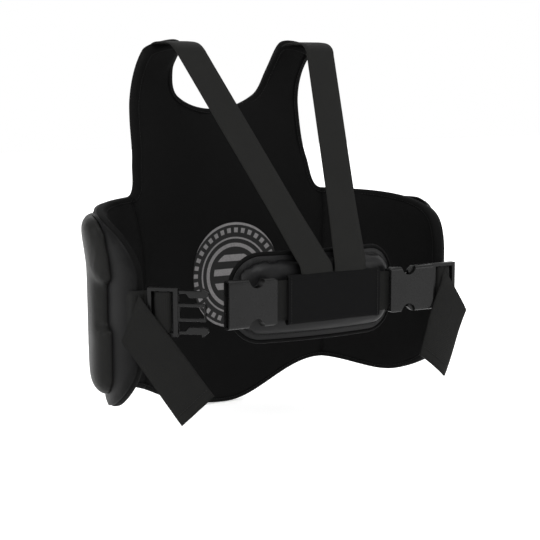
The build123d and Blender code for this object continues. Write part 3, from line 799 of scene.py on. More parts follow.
def lining_back(flat):
    """Outer face of the lining, which is also the inner face of the cover."""
    return lining_depth(flat) + lining_thickness


def cover_depth(flat):
    """Outer face of the leather: fuller over the wings, creased at each fold, and rolled at the edge."""
    full = wing_fullness * smooth_step(np.abs(flat[:, 0]), *fullness_rise)
    return full + shell_thickness - beside_fold(flat)[1] - pulled_in(flat)


# %% Front panel
front_lining = slab("front_lining_cloth", front_outline, on_shell, lining_depth, lining_back, lining_cloth)
front_cover = slab("front_cover_leather", front_outline, on_shell, lining_back, cover_depth, shell_leather)
print("front lining", len(front_lining.data.polygons), "faces")

# %% Wings
wings = {}
for side, outline in wing_outline.items():
    lining = slab(side + "_wing_lining_cloth", outline, on_shell, lining_depth, lining_back, lining_cloth)
    cover = slab(side + "_wing_cover_leather", outline, on_shell, lining_back, cover_depth, shell_leather)
    wings[side] = {"lining": lining, "cover": cover}
print("wing lining", len(wings["left"]["lining"].data.polygons), "faces")

# %% [markdown]
# ## Bound edge
# A tape is folded over the raw edge and stitched through. Its section is a flat, soft-cornered loop that
# is carried along the edge. Both faces are drawn in under the tape, so it stands a little proud of them.

# %% Bound edge
tape_reach = 6 * mm
tape_half = [(1.0, 2.4), (0.87, 1.1), (0.5, 1.2), (0.07, 2.3), (-0.22, 4.4), (-0.27, 7.0)]
tape_section = [(share * tape_reach, depth * mm) for share, depth in tape_half]
tape_section += [(inwards, shell_thickness - depth) for inwards, depth in tape_section[::-1]]


def inward(path):
    """Unit directions to the left of a flat path."""
    ahead = np.gradient(path, axis=0)
    ahead /= np.linalg.norm(ahead, axis=1)[:, None]
    return np.stack([-ahead[:, 1], ahead[:, 0]], axis=1)


def ring_faces(count, around, closed=False):
    """Faces between neighbouring rings, and an end cap on each end that stays open."""
    faces = []
    for i in range(count if closed else count - 1):
        j = (i + 1) % count
        for k in range(around):
            m = (k + 1) % around
            faces.append((i * around + k, i * around + m, j * around + m, j * around + k))
    if not closed:
        faces.append(tuple(range(around))[::-1])
        faces.append(tuple((count - 1) * around + k for k in range(around)))
    return faces


def carried(name, path, section, wrap, finish, closed=False):
    """A section carried along a flat path. Section places are (inwards, depth)."""
    path = np.asarray(path, float)
    if closed:
        padded_path = np.vstack([path[-1:], path, path[:1]])
        sideways = inward(padded_path)[1:-1]
    else:
        sideways = inward(path)
    rings = []
    for inwards, depth in section:
        flat = path + sideways * inwards
        rings.append(wrap(flat[:, 0], flat[:, 1], depth))
    places = np.stack(rings, axis=1).reshape(-1, 3)
    count, around = len(path), len(section)
    flat_places = np.stack([np.repeat(run_of(path), around), np.tile(run_of(section), count)], axis=1)
    return new_piece(name, places, ring_faces(count, around, closed), finish, flat_places)


tape_step = 4 * mm


def bind(name, edge):
    """Folded tape along a raw edge."""
    return carried(name, even_path(edge, tape_step), tape_section, on_shell, binding_tape)


top_binding = bind("neck_and_armhole_binding_tape", top_edge)
low_binding = bind("bottom_binding_tape", bottom_edge)
for side, edge in wing_edge.items():
    wings[side]["binding"] = bind(side + "_wing_binding_tape", edge)
print("binding faces", len(top_binding.data.polygons))

# %% [markdown]
# ## Sewing thread by Geometry Nodes
# A stitch is the same small bead again and again along a seam, so a node tree places it. The tree has
# named inputs for pitch, length and thickness, turns each bead along the seam, and makes them real mesh.

# %% Stitch tree
def stitch_tree(finish):
    """Beads along every curve of the input, with sizes as named inputs."""
    tree = bpy.data.node_groups.new("stitches", "GeometryNodeTree")
    face = tree.interface
    face.new_socket("Seams", in_out="INPUT", socket_type="NodeSocketGeometry")
    for label, value in (("Pitch", 4.2 * mm), ("Length", 3.0 * mm), ("Thickness", 0.7 * mm)):
        face.new_socket(label, in_out="INPUT", socket_type="NodeSocketFloat").default_value = value
    face.new_socket("Stitches", in_out="OUTPUT", socket_type="NodeSocketGeometry")
    given = add_node(tree, "NodeGroupInput").outputs
    line = add_node(tree, "GeometryNodeMeshToCurve", {"Mesh": given["Seams"]})
    spacing = {"Curve": line.outputs["Curve"], "Length": given["Pitch"]}
    points = add_node(tree, "GeometryNodeCurveToPoints", spacing, mode="LENGTH").outputs
    bead = add_node(tree, "GeometryNodeMeshUVSphere", {"Segments": 6, "Rings": 4, "Radius": 0.5})
    thickness = given["Thickness"]
    size = add_node(tree, "ShaderNodeCombineXYZ", {"X": thickness, "Y": thickness, "Z": given["Length"]})
    turn = add_node(tree, "FunctionNodeAlignRotationToVector", {"Vector": points["Tangent"]}, axis="Z")
    placing = {
        "Points": points["Points"],
        "Instance": bead.outputs["Mesh"],
        "Rotation": turn.outputs["Rotation"],
        "Scale": size.outputs["Vector"],
    }
    beads = add_node(tree, "GeometryNodeInstanceOnPoints", placing).outputs["Instances"]
    real = add_node(tree, "GeometryNodeRealizeInstances", {"Geometry": beads}).outputs["Geometry"]
    coated = add_node(tree, "GeometryNodeSetMaterial", {"Geometry": real, "Material": finish})
    add_node(tree, "NodeGroupOutput", {"Stitches": coated.outputs["Geometry"]})
    return tree


stitches_along = stitch_tree(thread_black)


def sew(name, seams, pitch=4.2 * mm):
    """One plain mesh of stitches along several seams, each a list of places."""
    places, edges = [], []
    for seam in seams:
        start = len(places)
        places += [tuple(p) for p in seam]
        edges += [(i, i + 1) for i in range(start, len(places) - 1)]
    lines = bpy.data.meshes.new(name + "_lines")
    lines.from_pydata(places, edges, [])
    carrier = show(name + "_lines", lines)
    maker = carrier.modifiers.new("stitches", "NODES")
    maker.node_group = stitches_along
    ids = {item.name: item.identifier for item in stitches_along.interface.items_tree}
    maker[ids["Pitch"]] = pitch
    bpy.context.view_layer.update()
    made = bpy.data.meshes.new_from_object(carrier.evaluated_get(bpy.context.evaluated_depsgraph_get()))
    bpy.data.objects.remove(carrier)
    made.name = name
    finish_mesh(made, thread_black)
    return show(name, made)


# %% Stitches of the bound edge
seam_inset = 0.7 * tape_reach
seam_faces = (1.0 * mm, shell_thickness - 1.0 * mm)


def edge_seams(edge):
    """Seams on both faces of the tape along an edge."""
    path = even_path(edge, tape_step)
    flat = path + inward(path) * seam_inset
    return [on_shell(flat[:, 0], flat[:, 1], depth) for depth in seam_faces]


front_stitches = sew("front_edge_stitches", edge_seams(top_edge) + edge_seams(bottom_edge))
for side, edge in wing_edge.items():
    wings[side]["stitches"] = sew(side + "_wing_edge_stitches", edge_seams(edge))
print("edge stitches", len(front_stitches.data.polygons), "faces")

# %% [markdown]
# ## Emblem
# The print is a thin disc that follows the lining's ripples, so it is a slab with the lining's own depth.

# %% Emblem disc
emblem_half_width = 0.90 * emblem_radius
emblem_s, emblem_z = -11 * mm, 181 * mm
emblem_size = (2 * emblem_half_width, 2 * emblem_radius)
emblem_corner = emblem_half_width - 0.1 * mm
emblem_outline = rounded_box((emblem_s, emblem_z), emblem_size, emblem_corner, 5 * mm)
emblem_proud = 0.7 * mm
emblem_sunk = 0.5 * mm
emblem = slab(
    "lining_emblem_print",
    emblem_outline,
    on_shell,
    lambda flat: lining_depth(flat) - emblem_proud,
    lambda flat: lining_depth(flat) + emblem_sunk,
    emblem_print,
    5 * mm,
    (emblem_s, emblem_z),
)
print("emblem faces", len(emblem.data.polygons))

# %% [markdown]
# ## Padded cushions by cloth simulation
# A sewn pad is a leather cover stretched over foam. Its back is glued flat and its rim is sewn down, so
# only its crown can swell. Each starts as a slab with a low rim, is remeshed evenly, and is blown up a
# little as cloth. The back is pinned. How far a point may move is capped, so the pad keeps to its place.

# %% Inflating a pad
voxel = 5 * mm
sim_frames = 20
pressure = 4.0


def inflate(piece, cap):
    """Swells a closed piece as cloth, with its inner face pinned."""
    grid = piece.modifiers.new("even", "REMESH")
    grid.mode = "VOXEL"
    grid.voxel_size = voxel
    graph = bpy.context.evaluated_depsgraph_get()
    even = bpy.data.meshes.new_from_object(piece.evaluated_get(graph))
    piece.modifiers.clear()
    even.materials.clear()
    even.materials.append(piece.data.materials[0])
    piece.data = even
    start = np.array([v.co for v in even.vertices])
    facing = np.array([v.normal for v in even.vertices])
    outward = start * [1, 1, 0]
    outward /= np.linalg.norm(outward, axis=1)[:, None]
    held = np.nonzero((facing * outward).sum(axis=1) < -0.3)[0]
    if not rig.quick():
        group = piece.vertex_groups.new(name="held")
        group.add([int(i) for i in held], 1.0, "REPLACE")
        cloth_modifier = piece.modifiers.new("cloth", "CLOTH")
        fabric = cloth_modifier.settings
        fabric.quality = 4
        fabric.mass = 0.25
        fabric.use_pressure = True
        fabric.uniform_pressure_force = pressure
        fabric.vertex_group_mass = "held"
        fabric.effector_weights.gravity = 0
        cloth_modifier.point_cache.frame_start = 1
        cloth_modifier.point_cache.frame_end = sim_frames
        for step in range(1, sim_frames + 1):
            bpy.context.scene.frame_set(step)
        graph = bpy.context.evaluated_depsgraph_get()
        swollen = np.array([v.co for v in piece.evaluated_get(graph).data.vertices])
        move = swollen - start
        length = np.linalg.norm(move, axis=1)
        move *= np.minimum(1, cap / np.maximum(length, 1e-9))[:, None]
        piece.modifiers.clear()
        piece.vertex_groups.clear()
        even.vertices.foreach_set("co", (start + move).ravel())
        bpy.context.scene.frame_set(1)
    even.polygons.foreach_set("use_smooth", [True] * len(even.polygons))
    finer = piece.modifiers.new("finer", "SUBSURF")
    finer.levels = finer.render_levels = 1
    even.update()


def cord(name, outline, wrap, radius, depth, finish):
    """A round cord along a closed outline, centred at a depth."""
    turns = np.arange(8) * 2 * pi / 8
    section = [(radius * cos(a), depth + radius * sin(a)) for a in turns]
    return carried(name, outline, section, wrap, finish, closed=True)


pad_base_depth = shell_thickness - 0.5 * mm
rim_share = 0.34
rim_softness = 8 * mm
pad_swell = 7 * mm
welt_radius = 2.0 * mm
welt_depth = shell_thickness + 0.8 * mm


def shell_pad(name, outline, thickness):
    """A leather pad sewn to the outside of the shell, low at its rim, and its welt."""

    def face(flat):
        rise = 1 - np.exp(-edge_distance(outline, flat) / rim_softness)
        return pad_base_depth + thickness * (rim_share + (1 - rim_share) * rise)

    pad = slab(name + "_pad", outline, on_shell, pad_base_depth, face, cushion_leather, 6 * mm)
    inflate(pad, pad_swell)
    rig.padded(pad, fill=0.8)
    return pad, cord(name + "_welt", outline, on_shell, welt_radius, welt_depth, shell_leather)


# %% Side cushions
side_cushion_thickness = 23 * mm
notch_height = 56 * mm
notch_depth = 11 * mm
anchor_z = 178 * mm
notch_round = 3 * mm
side_middle = (252 * mm, 175 * mm)
side_size = (98 * mm, 228 * mm)
side_outline = rounded_box(side_middle, side_size, 26 * mm)
to_rear = (side_outline[:, 0] - side_middle[0]) / side_size[0]
near_rear = smooth_step(to_rear, 0.26, 0.46)
from_anchor = np.abs(side_outline[:, 1] - anchor_z)
in_notch = 1 - smooth_step(from_anchor, notch_height / 2 - notch_round, notch_height / 2 + notch_round)
side_outline[:, 0] -= notch_depth * near_rear * in_notch
for side, outline in (("left", side_outline), ("right", mirrored(side_outline))):
    pad, welt = shell_pad(side + "_side_cushion", outline, side_cushion_thickness)
    wings[side].update(cushion=pad, welt=welt)
print("side cushion", len(wings["left"]["cushion"].data.polygons), "faces before subdivision")

# %% Front cushions
front_pad_thickness = 17 * mm
front_pads = {}
for name, centre, size, corner in (
    ("lower_belly_cushion", (0, 76), (178, 80), 34),
    ("upper_belly_cushion", (0, 167), (206, 82), 26),
    ("left_chest_cushion", (54, 304), (98, 172), 24),
    ("right_chest_cushion", (-54, 304), (98, 172), 24),
):
    outline = rounded_box(np.array(centre) * mm, np.array(size) * mm, corner * mm)
    front_pads[name] = shell_pad(name, outline, front_pad_thickness)
print("front cushions", len(front_pads))

# %% [markdown]
# ## Back pad
# The pad behind the waist is a soft pillow on a flat base with a piped rim. The belt presses across its
# middle, so the pillow swells above and below it.

# %% Back pad
piping_low, piping_high = (Vector(c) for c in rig.box("back_pad_piping"))
belt_low, belt_high = (Vector(c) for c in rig.box("belt_webbing"))
belt_z = (belt_low.z + belt_high.z) / 2
belt_y = (belt_low.y + belt_high.y) / 2
pad_radius = 450 * mm
pad_outer_y = 138 * mm
pad_thickness = 15 * mm
pad_base = 4 * mm
pad_length = piping_high.x - piping_low.x
pad_height = piping_high.z - piping_low.z
pad_corner = 42 * mm
pad_border = 8 * mm
pad_spare = 4 * mm
piping_radius = 3 * mm
belt_press = 32 * mm
belt_edge = 8 * mm
pillow_swell = 5 * mm
pillow_rim = 0.25
pillow_rest = 1.5 * mm
free_swell = 3.5 * mm
free_rise = 24 * mm, 40 * mm


def on_pad(u, v, depth):
    """Places on the back pad: u across, v up, depth inwards from its outer face."""
    u, v, depth = np.broadcast_arrays(np.asarray(u, float), v, depth)
    radius = pad_radius - depth
    x = radius * np.sin(u / pad_radius)
    y = pad_outer_y - pad_radius + radius * np.cos(u / pad_radius)
    return np.stack([x, y, v], axis=-1)


pad_centre = (7 * mm, belt_z)
pad_size = np.array([pad_length + pad_spare, pad_height])
pad_outline = rounded_box(pad_centre, pad_size, pad_corner)
pillow_outline = rounded_box(pad_centre, pad_size - 2 * pad_border, pad_corner - pad_border)


def pillow_face(flat):
    """Depth of the pillow's outer face, pressed in by the belt."""
    rise = 1 - np.exp(-edge_distance(pillow_outline, flat) / rim_softness)
    free = smooth_step(np.abs(flat[:, 1] - belt_z), *free_rise)
    full = pillow_rim + (1 - pillow_rim) * rise
    return pad_thickness * (1 - full) + pillow_rest - free_swell * free * rise


pad_back = pad_thickness + pad_base
pad_cloth = slab("back_pad_base_cloth", pad_outline, on_pad, pad_thickness, pad_back, pad_knit)
pillow_back = pad_thickness + 1 * mm
pillow = slab("back_pad_pillow", pillow_outline, on_pad, pillow_back, pillow_face, pad_knit, 6 * mm)
inflate(pillow, pillow_swell)
flattened = np.array([v.co for v in pillow.data.vertices])
limit_y = on_pad(flattened[:, 0], flattened[:, 2], 0.6 * mm)[:, 1]
free = smooth_step(np.abs(flattened[:, 2] - belt_z), belt_press, belt_press + belt_edge)
flattened[:, 1] = np.minimum(flattened[:, 1], limit_y + free * 9 * mm)
pillow.data.vertices.foreach_set("co", flattened.ravel())
pillow.data.update()
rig.padded(pillow, fill=0.7)
piping_depth = pad_thickness + pad_base / 2
piping = cord("back_pad_piping_cord", pad_outline, on_pad, piping_radius, piping_depth, binding_tape)
pad_seam = on_pad(*pillow_outline.T, pad_thickness - 0.6 * mm)
print("pad", round(pad_length, 3), "by", round(pad_height, 3), "m")

# %% [markdown]
# ## Straps and webbing
# A strap is a ribbon: a centre line, a direction across it and a width. Its edges are a little thinner
# than its middle, as a woven selvedge is, and its flat map runs along and across the threads.

# %% Ribbon helper
ribbon_columns = 9


def ribbon(name, centres, across, width, thickness, finish):
    """A woven ribbon along a line of centres."""
    centres = np.asarray(centres, float)
    count = len(centres)
    across = np.broadcast_to(np.asarray(across, float), (count, 3))
    across = across / np.linalg.norm(across, axis=1)[:, None]
    width = np.broadcast_to(np.asarray(width, float), (count,))
    ahead = np.gradient(centres, axis=0)
    out = np.cross(ahead, across)
    out /= np.linalg.norm(out, axis=1)[:, None]
    share = np.linspace(-1, 1, ribbon_columns)
    body = thickness / 2 * (1 - 0.45 * np.abs(share) ** 8)
    rings = []
    for q, half in list(zip(share, body)) + list(zip(share[::-1], -body[::-1])):
        rings.append(centres + across * (width * q / 2)[:, None] + out * half)
    around = len(rings)
    places = np.stack(rings, axis=1).reshape(-1, 3)
    sideways = np.concatenate([share, share[::-1]])
    flat = np.stack([np.repeat(run_of(centres), around), np.outer(width / 2, sideways).ravel()], axis=1)
    return new_piece(name, places, ring_faces(count, around), finish, flat)


print("ribbon columns", ribbon_columns)

# %% Shoulder straps
strap_thickness = 2.0 * mm
strap_width = 43 * mm
strap_foot = 47 * mm
strap_top_x = (flap_inner + flap_outer) / 2
strap_top_z = 504 * mm
strap_tab_y = belt_y + 2.7 * mm
leave_z = 246 * mm
cover_low, cover_high = (Vector(c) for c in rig.box("belt_cover"))
straps = {}
strap_seams = []
for side, sign in (("left", 1), ("right", -1)):
    foot_x = strap_foot / 2 + 0.5 * mm
    on_shoulder = [
        (strap_top_x, -92 * mm, strap_top_z - 14 * mm),
        (strap_top_x, -72 * mm, strap_top_z - 1 * mm),
        (strap_top_x, -45 * mm, strap_top_z + 1.5 * mm),
        (strap_top_x - 1 * mm, -24 * mm, strap_top_z - 1 * mm),
        (strap_top_x - 2 * mm, -12 * mm, strap_top_z - 8 * mm),
    ]
    *shoulder_places, over = lean(np.array(on_shoulder) * [sign, 1, 1])
    leave = np.array([sign * (foot_x + 2 * mm), strap_tab_y - 2 * mm, cover_high.z + 9 * mm])
    route = [
        *map(tuple, shoulder_places),
        *[tuple(over + (leave - over) * share) for share in (0, 0.02, 0.06, 0.3, 0.65, 0.96, 1)],
        (sign * foot_x, strap_tab_y, cover_high.z - 14 * mm),
    ]
    path = even_path(smooth_path(route, (0, 0.84, 0.54), (0, 0, -1), 5 * mm), 5 * mm)
    to_foot = 1 - smooth_step(path[:, 2], cover_high.z + 12 * mm, leave_z + 60 * mm)
    width = strap_width + (strap_foot - strap_width) * to_foot
    name = side + "_shoulder_strap_elastic"
    straps[side] = ribbon(name, path, (1, 0, 0), width, strap_thickness, elastic_weave)
    for row_y in (-87 * mm, -93 * mm):
        seam = np.tile(path[np.argmin(np.abs(path[:, 1] - row_y))], (12, 1))
        seam[:, 0] += np.linspace(-0.44, 0.44, 12) * strap_width
        seam[:, 2] += strap_thickness / 2 + 0.4 * mm
        strap_seams.append(seam)
strap_stitches = sew("shoulder_strap_stitches", strap_seams, 3.4 * mm)
print("strap length", round(float(run_of(path)[-1]), 3), "m")

# %% [markdown]
# ## Belt
# The belt's webbing joins the two sockets behind the pad, inside a knit sleeve with hemmed ends. The
# sleeve is a flattened tube, so its section is a round-cornered loop in side view, carried across.

# %% Belt webbing and sleeve
webbing_thickness = 2.2 * mm
belt_line = [(x, belt_y, belt_z) for x in np.linspace(belt_low.x, belt_high.x, 40)]
belt_height = belt_high.z - belt_low.z
belt_strap = ribbon("belt_webbing_strap", belt_line, (0, 0, -1), belt_height, webbing_thickness, belt_weave)

sleeve_wall = 1.2 * mm
hem_length = 5 * mm
hem_proud = 0.5 * mm


def sleeve_loop(grow):
    """Closed section of the sleeve as (back, up), grown by a distance."""
    middle = ((cover_low.y + cover_high.y) / 2, (cover_low.z + cover_high.z) / 2)
    size = (cover_high.y - cover_low.y + 2 * grow, cover_high.z - cover_low.z + 2 * grow)
    return rounded_box(middle, size, min(size) / 2 - 0.2 * mm, 3 * mm)


def make_sleeve():
    """Outer skin, hems and inner skin of the sleeve as one closed tube."""
    stations = np.linspace(cover_low.x, cover_high.x, 47)
    outer = sleeve_loop(-hem_proud)
    inner = sleeve_loop(-hem_proud - sleeve_wall)
    inner = outer + (inner[np.argmin(((outer[:, None] - inner[None]) ** 2).sum(axis=2), axis=1)] - outer)
    around = len(outer)
    rings, flat = [], []
    centre = outer.mean(axis=0)
    for loop, order in ((outer, stations), (inner, stations[::-1])):
        for x in order:
            to_end = min(x - cover_low.x, cover_high.x - x)
            hem = hem_proud * float(1 - smooth_step(to_end, hem_length - 1 * mm, hem_length))
            away = loop - centre
            away = away / np.linalg.norm(away, axis=1)[:, None]
            puckers = [0.6 * mm * noise.noise(Vector((x * 40, y * 60, z * 55))) for y, z in loop]
            here = loop + away * (hem + np.array(puckers) * (to_end > hem_length))[:, None]
            rings.append(np.column_stack([np.full(around, x), here]))
            flat.append(np.column_stack([np.full(around, x), run_of(outer)]))
    faces = ring_faces(len(rings), around, closed=True)
    return new_piece("belt_cover_sleeve", np.vstack(rings), faces, sleeve_knit, np.vstack(flat))


sleeve = make_sleeve()
sleeve_seams = []
for x in (cover_low.x + hem_length - 1 * mm, cover_high.x - hem_length + 1 * mm):
    rows = np.linspace(cover_low.z + 4 * mm, cover_high.z - 4 * mm, 20)
    sleeve_seams.append([(x, cover_high.y + 0.3 * mm, z) for z in rows])
belt_stitches = sew("belt_stitches", sleeve_seams + [list(pad_seam)], 3.6 * mm)
print("sleeve", len(sleeve.data.polygons), "faces")

# %% [markdown]
# ## Webbing through the ladder locks
# On each side the webbing comes off the wing, runs under the buckle's frame, up through the inner slot,
# round the middle bar and down through the outer slot. Its free end then folds over and hangs. The route
# is given beside the buckle, as distance along it and distance out from its middle plane.

# %% Webbing routes
webbing_width = 50 * mm
webbing_depth = shell_thickness + 2.1 * mm
anchor_turn = radians(84)
hinge = rear_centre + (rear_radius + webbing_depth) * along(rear_turn)
buckle_turn = radians(139)
buckle_ahead = np.array([cos(buckle_turn), sin(buckle_turn)])
buckle_out = np.array([sin(buckle_turn), -cos(buckle_turn)])
lock_route = [(16, -8.2), (38, -8.2), (44.6, -4.5), (44.8, 2.5), (41.5, 6.0)]
lock_route += [(30, 6.0), (26.0, 2.5), (25.6, -2.5), (21.5, -5.8), (11, -5.4)]
right_lock_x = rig.box("right_buckle_plug")[0][0] - 16 * mm


def beside_left(a, n):
    """Plan place beside the left buckle."""
    return hinge + buckle_ahead * a + buckle_out * n


def beside_right(a, n):
    """Plan place beside the right buckle."""
    return np.array([right_lock_x + a, belt_y + n])


def lock_webbing(side, beside):
    """Webbing from under the side cushion, through the ladder lock."""
    sign = 1 if side == "left" else -1
    turns = np.linspace(anchor_turn, rear_turn, 6)
    arc = [(rear_centre + (rear_radius + webbing_depth) * along(turn)) * [sign, 1] for turn in turns]
    lock = [beside(a * mm, n * mm) for a, n in lock_route]
    between = [] if side == "left" else [(0.62 * arc[-1] + 0.38 * lock[0])]
    leaving = np.array([sign * cos(anchor_turn), sin(anchor_turn)])
    route = smooth_path(arc + between + lock, leaving, lock[-1] - lock[-2], 2 * mm)
    route = even_path(route, 2.2 * mm)
    rise_to = anchor_z if side == "left" else belt_z
    run = run_of(route)
    begin = run[np.argmin(((route - arc[-1]) ** 2).sum(axis=1))]
    end = run[np.argmin(((route - lock[0]) ** 2).sum(axis=1))]
    height = anchor_z + (rise_to - anchor_z) * smooth_step(run, begin, max(end, begin + 1 * mm))
    places = np.column_stack([route, height])
    name = side + "_belt_webbing_strap"
    return ribbon(name, places, (0, 0, 1), webbing_width, webbing_thickness, belt_weave)


lock_straps = {"left": lock_webbing("left", beside_left), "right": lock_webbing("right", beside_right)}
print("lock webbing made for", sorted(lock_straps))

# %% [markdown]
# ## Free ends
# Each free end folds over on a slanted crease and hangs down and back across the buckle. It is cut
# square, its end is hemmed, and it curls a little.

# %% Tails
tail_depth = 9.6 * mm
hem_step = 0.5 * mm
tail_hem = 12 * mm
tail_curl = 7 * mm
tail_cup = 3 * mm
fold_tuck = 3.2 * mm


def flat_tail(name, corners, beside, base_z):
    """A free end of webbing, flat beside its buckle, with a curl and a hem."""
    corners = np.array(corners, float) * mm
    sides = [even_path([corners[i], corners[(i + 1) % 4]], 4 * mm)[:-1] for i in range(4)]
    outline = np.vstack(sides)
    if (outline[:, 0] * np.roll(outline[:, 1], -1) - outline[:, 1] * np.roll(outline[:, 0], -1)).sum() < 0:
        outline = outline[::-1]
    fold_middle = (corners[0] + corners[1]) / 2
    ahead = corners[2] - corners[1]
    length = np.linalg.norm(ahead)
    ahead = ahead / length
    across = np.array([-ahead[1], ahead[0]])
    turned = np.array([ahead, across])

    def wrap(u, v, depth):
        run = (u - fold_middle[0]) * ahead[0] + (v - fold_middle[1]) * ahead[1]
        wide = (u - fold_middle[0]) * across[0] + (v - fold_middle[1]) * across[1]
        cupped = tail_cup * (wide / (webbing_width / 2)) ** 2 * run / length
        curl = tail_curl * smooth_step(run, 0.35 * length, 1.1 * length) - cupped
        tuck = fold_tuck * (1 - smooth_step(run + 0.3 * wide, -8 * mm, 9 * mm))
        out = tail_depth + curl - tuck + depth
        plan = np.array([beside(a, n) for a, n in zip(u, out)])
        return np.column_stack([plan, v + base_z])

    def face(flat):
        run = (flat - corners[2]) @ ahead
        hem = hem_step * smooth_step(run, -tail_hem - 1 * mm, -tail_hem + 1 * mm)
        return webbing_thickness / 2 + hem

    tail = slab(name, outline, wrap, -webbing_thickness / 2, face, belt_weave, 5 * mm)
    flat_layer = tail.data.uv_layers[0].data
    count = len(tail.data.loops)
    old = np.empty(count * 2)
    flat_layer.foreach_get("uv", old)
    flat_layer.foreach_set("uv", (old.reshape(-1, 2) @ turned.T).ravel())
    hem_run = corners[2] - ahead * tail_hem
    line = even_path([hem_run + share * (corners[3] - corners[2]) for share in (0.05, 0.95)], 4 * mm)
    seam = wrap(line[:, 0], line[:, 1], webbing_thickness / 2 + hem_step + 0.1 * mm)
    return tail, sew(name + "_stitches", [seam], 3.4 * mm)


left_corners = [(7, 21), (-15, -37), (61, -138), (101, -100)]
right_corners = [(36, 24), (0, -35), (38, -120), (80, -87)]
tails = {
    "left_tail": flat_tail("left_tail_webbing", left_corners, beside_left, anchor_z),
    "right_tail": flat_tail("right_tail_webbing", right_corners, beside_right, belt_z),
}
print("tail faces", len(tails["left_tail"][0].data.polygons))

# %% [markdown]
# ## Buckles
# The frame's buckles have the right shape but knife edges. A moulded part has a small radius on every
# edge, which is what catches the light. Each is copied, its triangles are merged into flat faces, and
# its edges are bevelled.

# %% Moulded buckles
edge_radius = 0.7 * mm
moulded_pieces = {}


def mould(node):
    """A copy of a frame piece with rounded edges."""
    source = frame["nodes"][node]
    shape = bmesh.new()
    shape.from_mesh(source.data)
    bmesh.ops.remove_doubles(shape, verts=shape.verts, dist=0.01 * mm)
    bmesh.ops.dissolve_limit(
        shape, angle_limit=radians(2), verts=shape.verts, edges=shape.edges, use_dissolve_boundaries=False
    )
    mesh = bpy.data.meshes.new(node + "_moulded")
    shape.to_mesh(mesh)
    shape.free()
    finish_mesh(mesh, buckle_plastic)
    piece = show(node + "_moulded", mesh)
    bevel = piece.modifiers.new("edge", "BEVEL")
    bevel.width = edge_radius
    bevel.segments = 2
    bevel.limit_method = "ANGLE"
    bevel.angle_limit = radians(32)
    bevel.use_clamp_overlap = True
    bevel.harden_normals = False
    smooth = piece.modifiers.new("shade", "WEIGHTED_NORMAL")
    smooth.keep_sharp = False
    return piece


node_bodies = {node: body for body, nodes in frame["record"]["behaviour"]["bodies"].items() for node in nodes}
for node in sorted(node_bodies):
    if node.endswith(("buckle_plug", "buckle_socket", "prong")):
        moulded_pieces[node] = mould(node)
print("moulded", len(moulded_pieces))

# %% [markdown]
# ## Put together
# Each piece now rides on its body. The wings' cloth bends from the front panel just behind each fold.
# The straps bend from the front panel to the right wing, which carries the belt.

# %% Helper for placing
def place(piece, body, slot, *nodes):
    """Rides on a body, takes a slot and stands for frame pieces."""
    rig.ride(piece, body)
    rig.slot(piece, slot)
    if nodes:
        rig.replaces(piece, *nodes)


def place_across(piece, first, second, ends, slot, *nodes):
    """Bends from one body to another between two ends, takes a slot and stands for frame pieces."""
    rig.blend(piece, first, second, start=ends[0], end=ends[1])
    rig.slot(piece, slot)
    if nodes:
        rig.replaces(piece, *nodes)


# %% Front
place(front_lining, "front", "lining_fabric", "front_lining")
place(front_cover, "front", "shell_leather", "front_cover", "front_foam")
front_cut = (2 * fold_s, flap_top)
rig.sheet(front_lining, front_cut, "stretched", "front_cover_leather", flat_area(front_outline))
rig.padded(front_cover, fill=0.9)
place(top_binding, "front", "binding", "neck_binding", "left_armhole_binding", "right_armhole_binding")
place(low_binding, "front", "binding", "bottom_binding")
place(front_stitches, "front", "binding")
place(emblem, "front", "emblem_print", "lining_emblem")
place(strap_stitches, "front", "strap_elastic")
for node, (pad, welt) in front_pads.items():
    place(pad, "front", "cushion_leather", node)
    place(welt, "front", "shell_leather")
print("front pieces placed")

# %% Wings
fold_bend = 30 * mm
for side, sign in (("left", 1), ("right", -1)):
    body = side + "_wing"
    start = Vector((sign * fold_point[0], fold_point[1], anchor_z))
    end = start + fold_bend * Vector((sign * cos(fold_turn), sin(fold_turn), 0))
    for part, slot, nodes in (
        ("lining", "lining_fabric", (body + "_lining",)),
        ("cover", "shell_leather", (body + "_cover", body + "_foam")),
        ("binding", "binding", (body + "_binding",)),
        ("stitches", "binding", ()),
    ):
        place_across(wings[side][part], "front", body, (start, end), slot, *nodes)
    wing_cut = (rear_s - fold_s, fold_high - fold_low["left"])
    cover = wings[side]["cover"]
    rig.sheet(wings[side]["lining"], wing_cut, "stretched", cover.name, flat_area(wing_outline[side]))
    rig.padded(cover, fill=0.9)
    place(wings[side]["cushion"], body, "cushion_leather", side + "_side_cushion")
    place(wings[side]["welt"], body, "shell_leather")
print("wings placed")

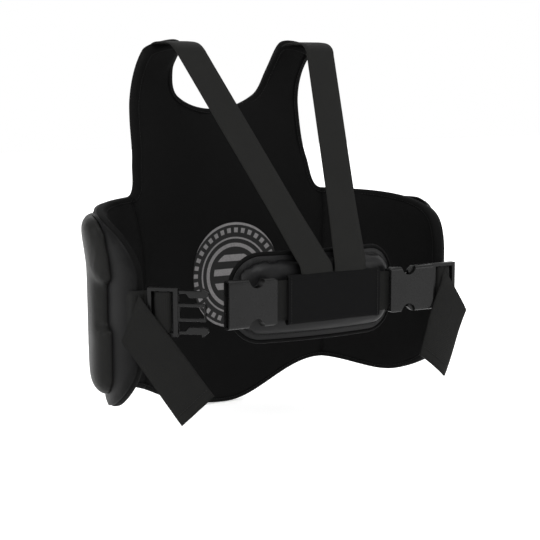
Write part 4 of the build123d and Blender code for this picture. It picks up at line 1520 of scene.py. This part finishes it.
# %% Belt, pad and straps
place(pad_cloth, "right_wing", "pad_fabric", "back_pad_base")
place(pillow, "right_wing", "pad_fabric", "back_pad_foam")
place(piping, "right_wing", "binding", "back_pad_piping")
place(belt_strap, "right_wing", "webbing", "belt_webbing")
place(sleeve, "right_wing", "belt_cover", "belt_cover")
sleeve_girth = float(np.linalg.norm(np.diff(sleeve_loop(0), axis=0, append=sleeve_loop(0)[:1]), axis=1).sum())
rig.sheet(sleeve, (cover_high.x - cover_low.x, sleeve_girth), "stretched", belt_strap)
place(belt_stitches, "right_wing", "binding")
place(lock_straps["right"], "right_wing", "webbing", "right_anchor_webbing", "right_adjuster_webbing")
hinge_place = Vector((hinge[0], hinge[1], anchor_z))
wing_side = Vector((-cos(rear_turn), -sin(rear_turn), 0)) * 10 * mm
buckle_side = Vector((*buckle_ahead, 0)) * 12 * mm
hinge_ends = (hinge_place + wing_side, hinge_place + buckle_side)
left_nodes = ("left_anchor_webbing", "left_adjuster_webbing")
place_across(lock_straps["left"], "left_wing", "left_buckle", hinge_ends, "webbing", *left_nodes)
strap_ends = ((0, -20 * mm, strap_top_z), (0, strap_tab_y, cover_high.z))
for side, strap in straps.items():
    place_across(strap, "front", "right_wing", strap_ends, "strap_elastic", side + "_shoulder_strap")
for node, (tail, stitches) in tails.items():
    place(tail, node, "webbing", node)
    place(stitches, node, "webbing")
for node, piece in moulded_pieces.items():
    place(piece, node_bodies[node], "buckle_plastic", node)
print("belt, straps and buckles placed")

# %% [markdown]
# ## Floor
# A wide pale floor lies just under the lowest point. It isn't part of the object.

# %% Floor
floor_half = 6.0
floor_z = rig.bounds()[0][2] - 0.5 * mm
floor_mesh = bpy.data.meshes.new("floor")
corners = [(x * floor_half, y * floor_half, floor_z) for x, y in ((-1, -1), (1, -1), (1, 1), (-1, 1))]
floor_mesh.from_pydata(corners, [], [(0, 1, 2, 3)])
floor = show("floor", floor_mesh)
floor_paint, floor_tree, floor_shader = new_finish("pale_floor", 0.9, 0.1)
floor_shader.inputs["Emission Color"].default_value = (1, 1, 1, 1)
floor_shader.inputs["Emission Strength"].default_value = 0.45
paint(floor_tree, floor_shader, (0.93,) * 3, (0.96,) * 3, cloudy(floor_tree, 3))
floor_mesh.materials.append(floor_paint)
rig.stage(floor)
print("floor at", round(floor_z, 4), "m")

# %% Sizes and finish
visual_low, visual_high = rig.bounds()
sizes = {
    "cad": [list(map(float, cad_low)), list(map(float, cad_high))],
    "visual": [list(map(float, visual_low)), list(map(float, visual_high))],
}
with open("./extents.json", "w") as size_file:
    json.dump(sizes, size_file)
print("visual box", [round(float(b - a), 3) for a, b in zip(visual_low, visual_high)])
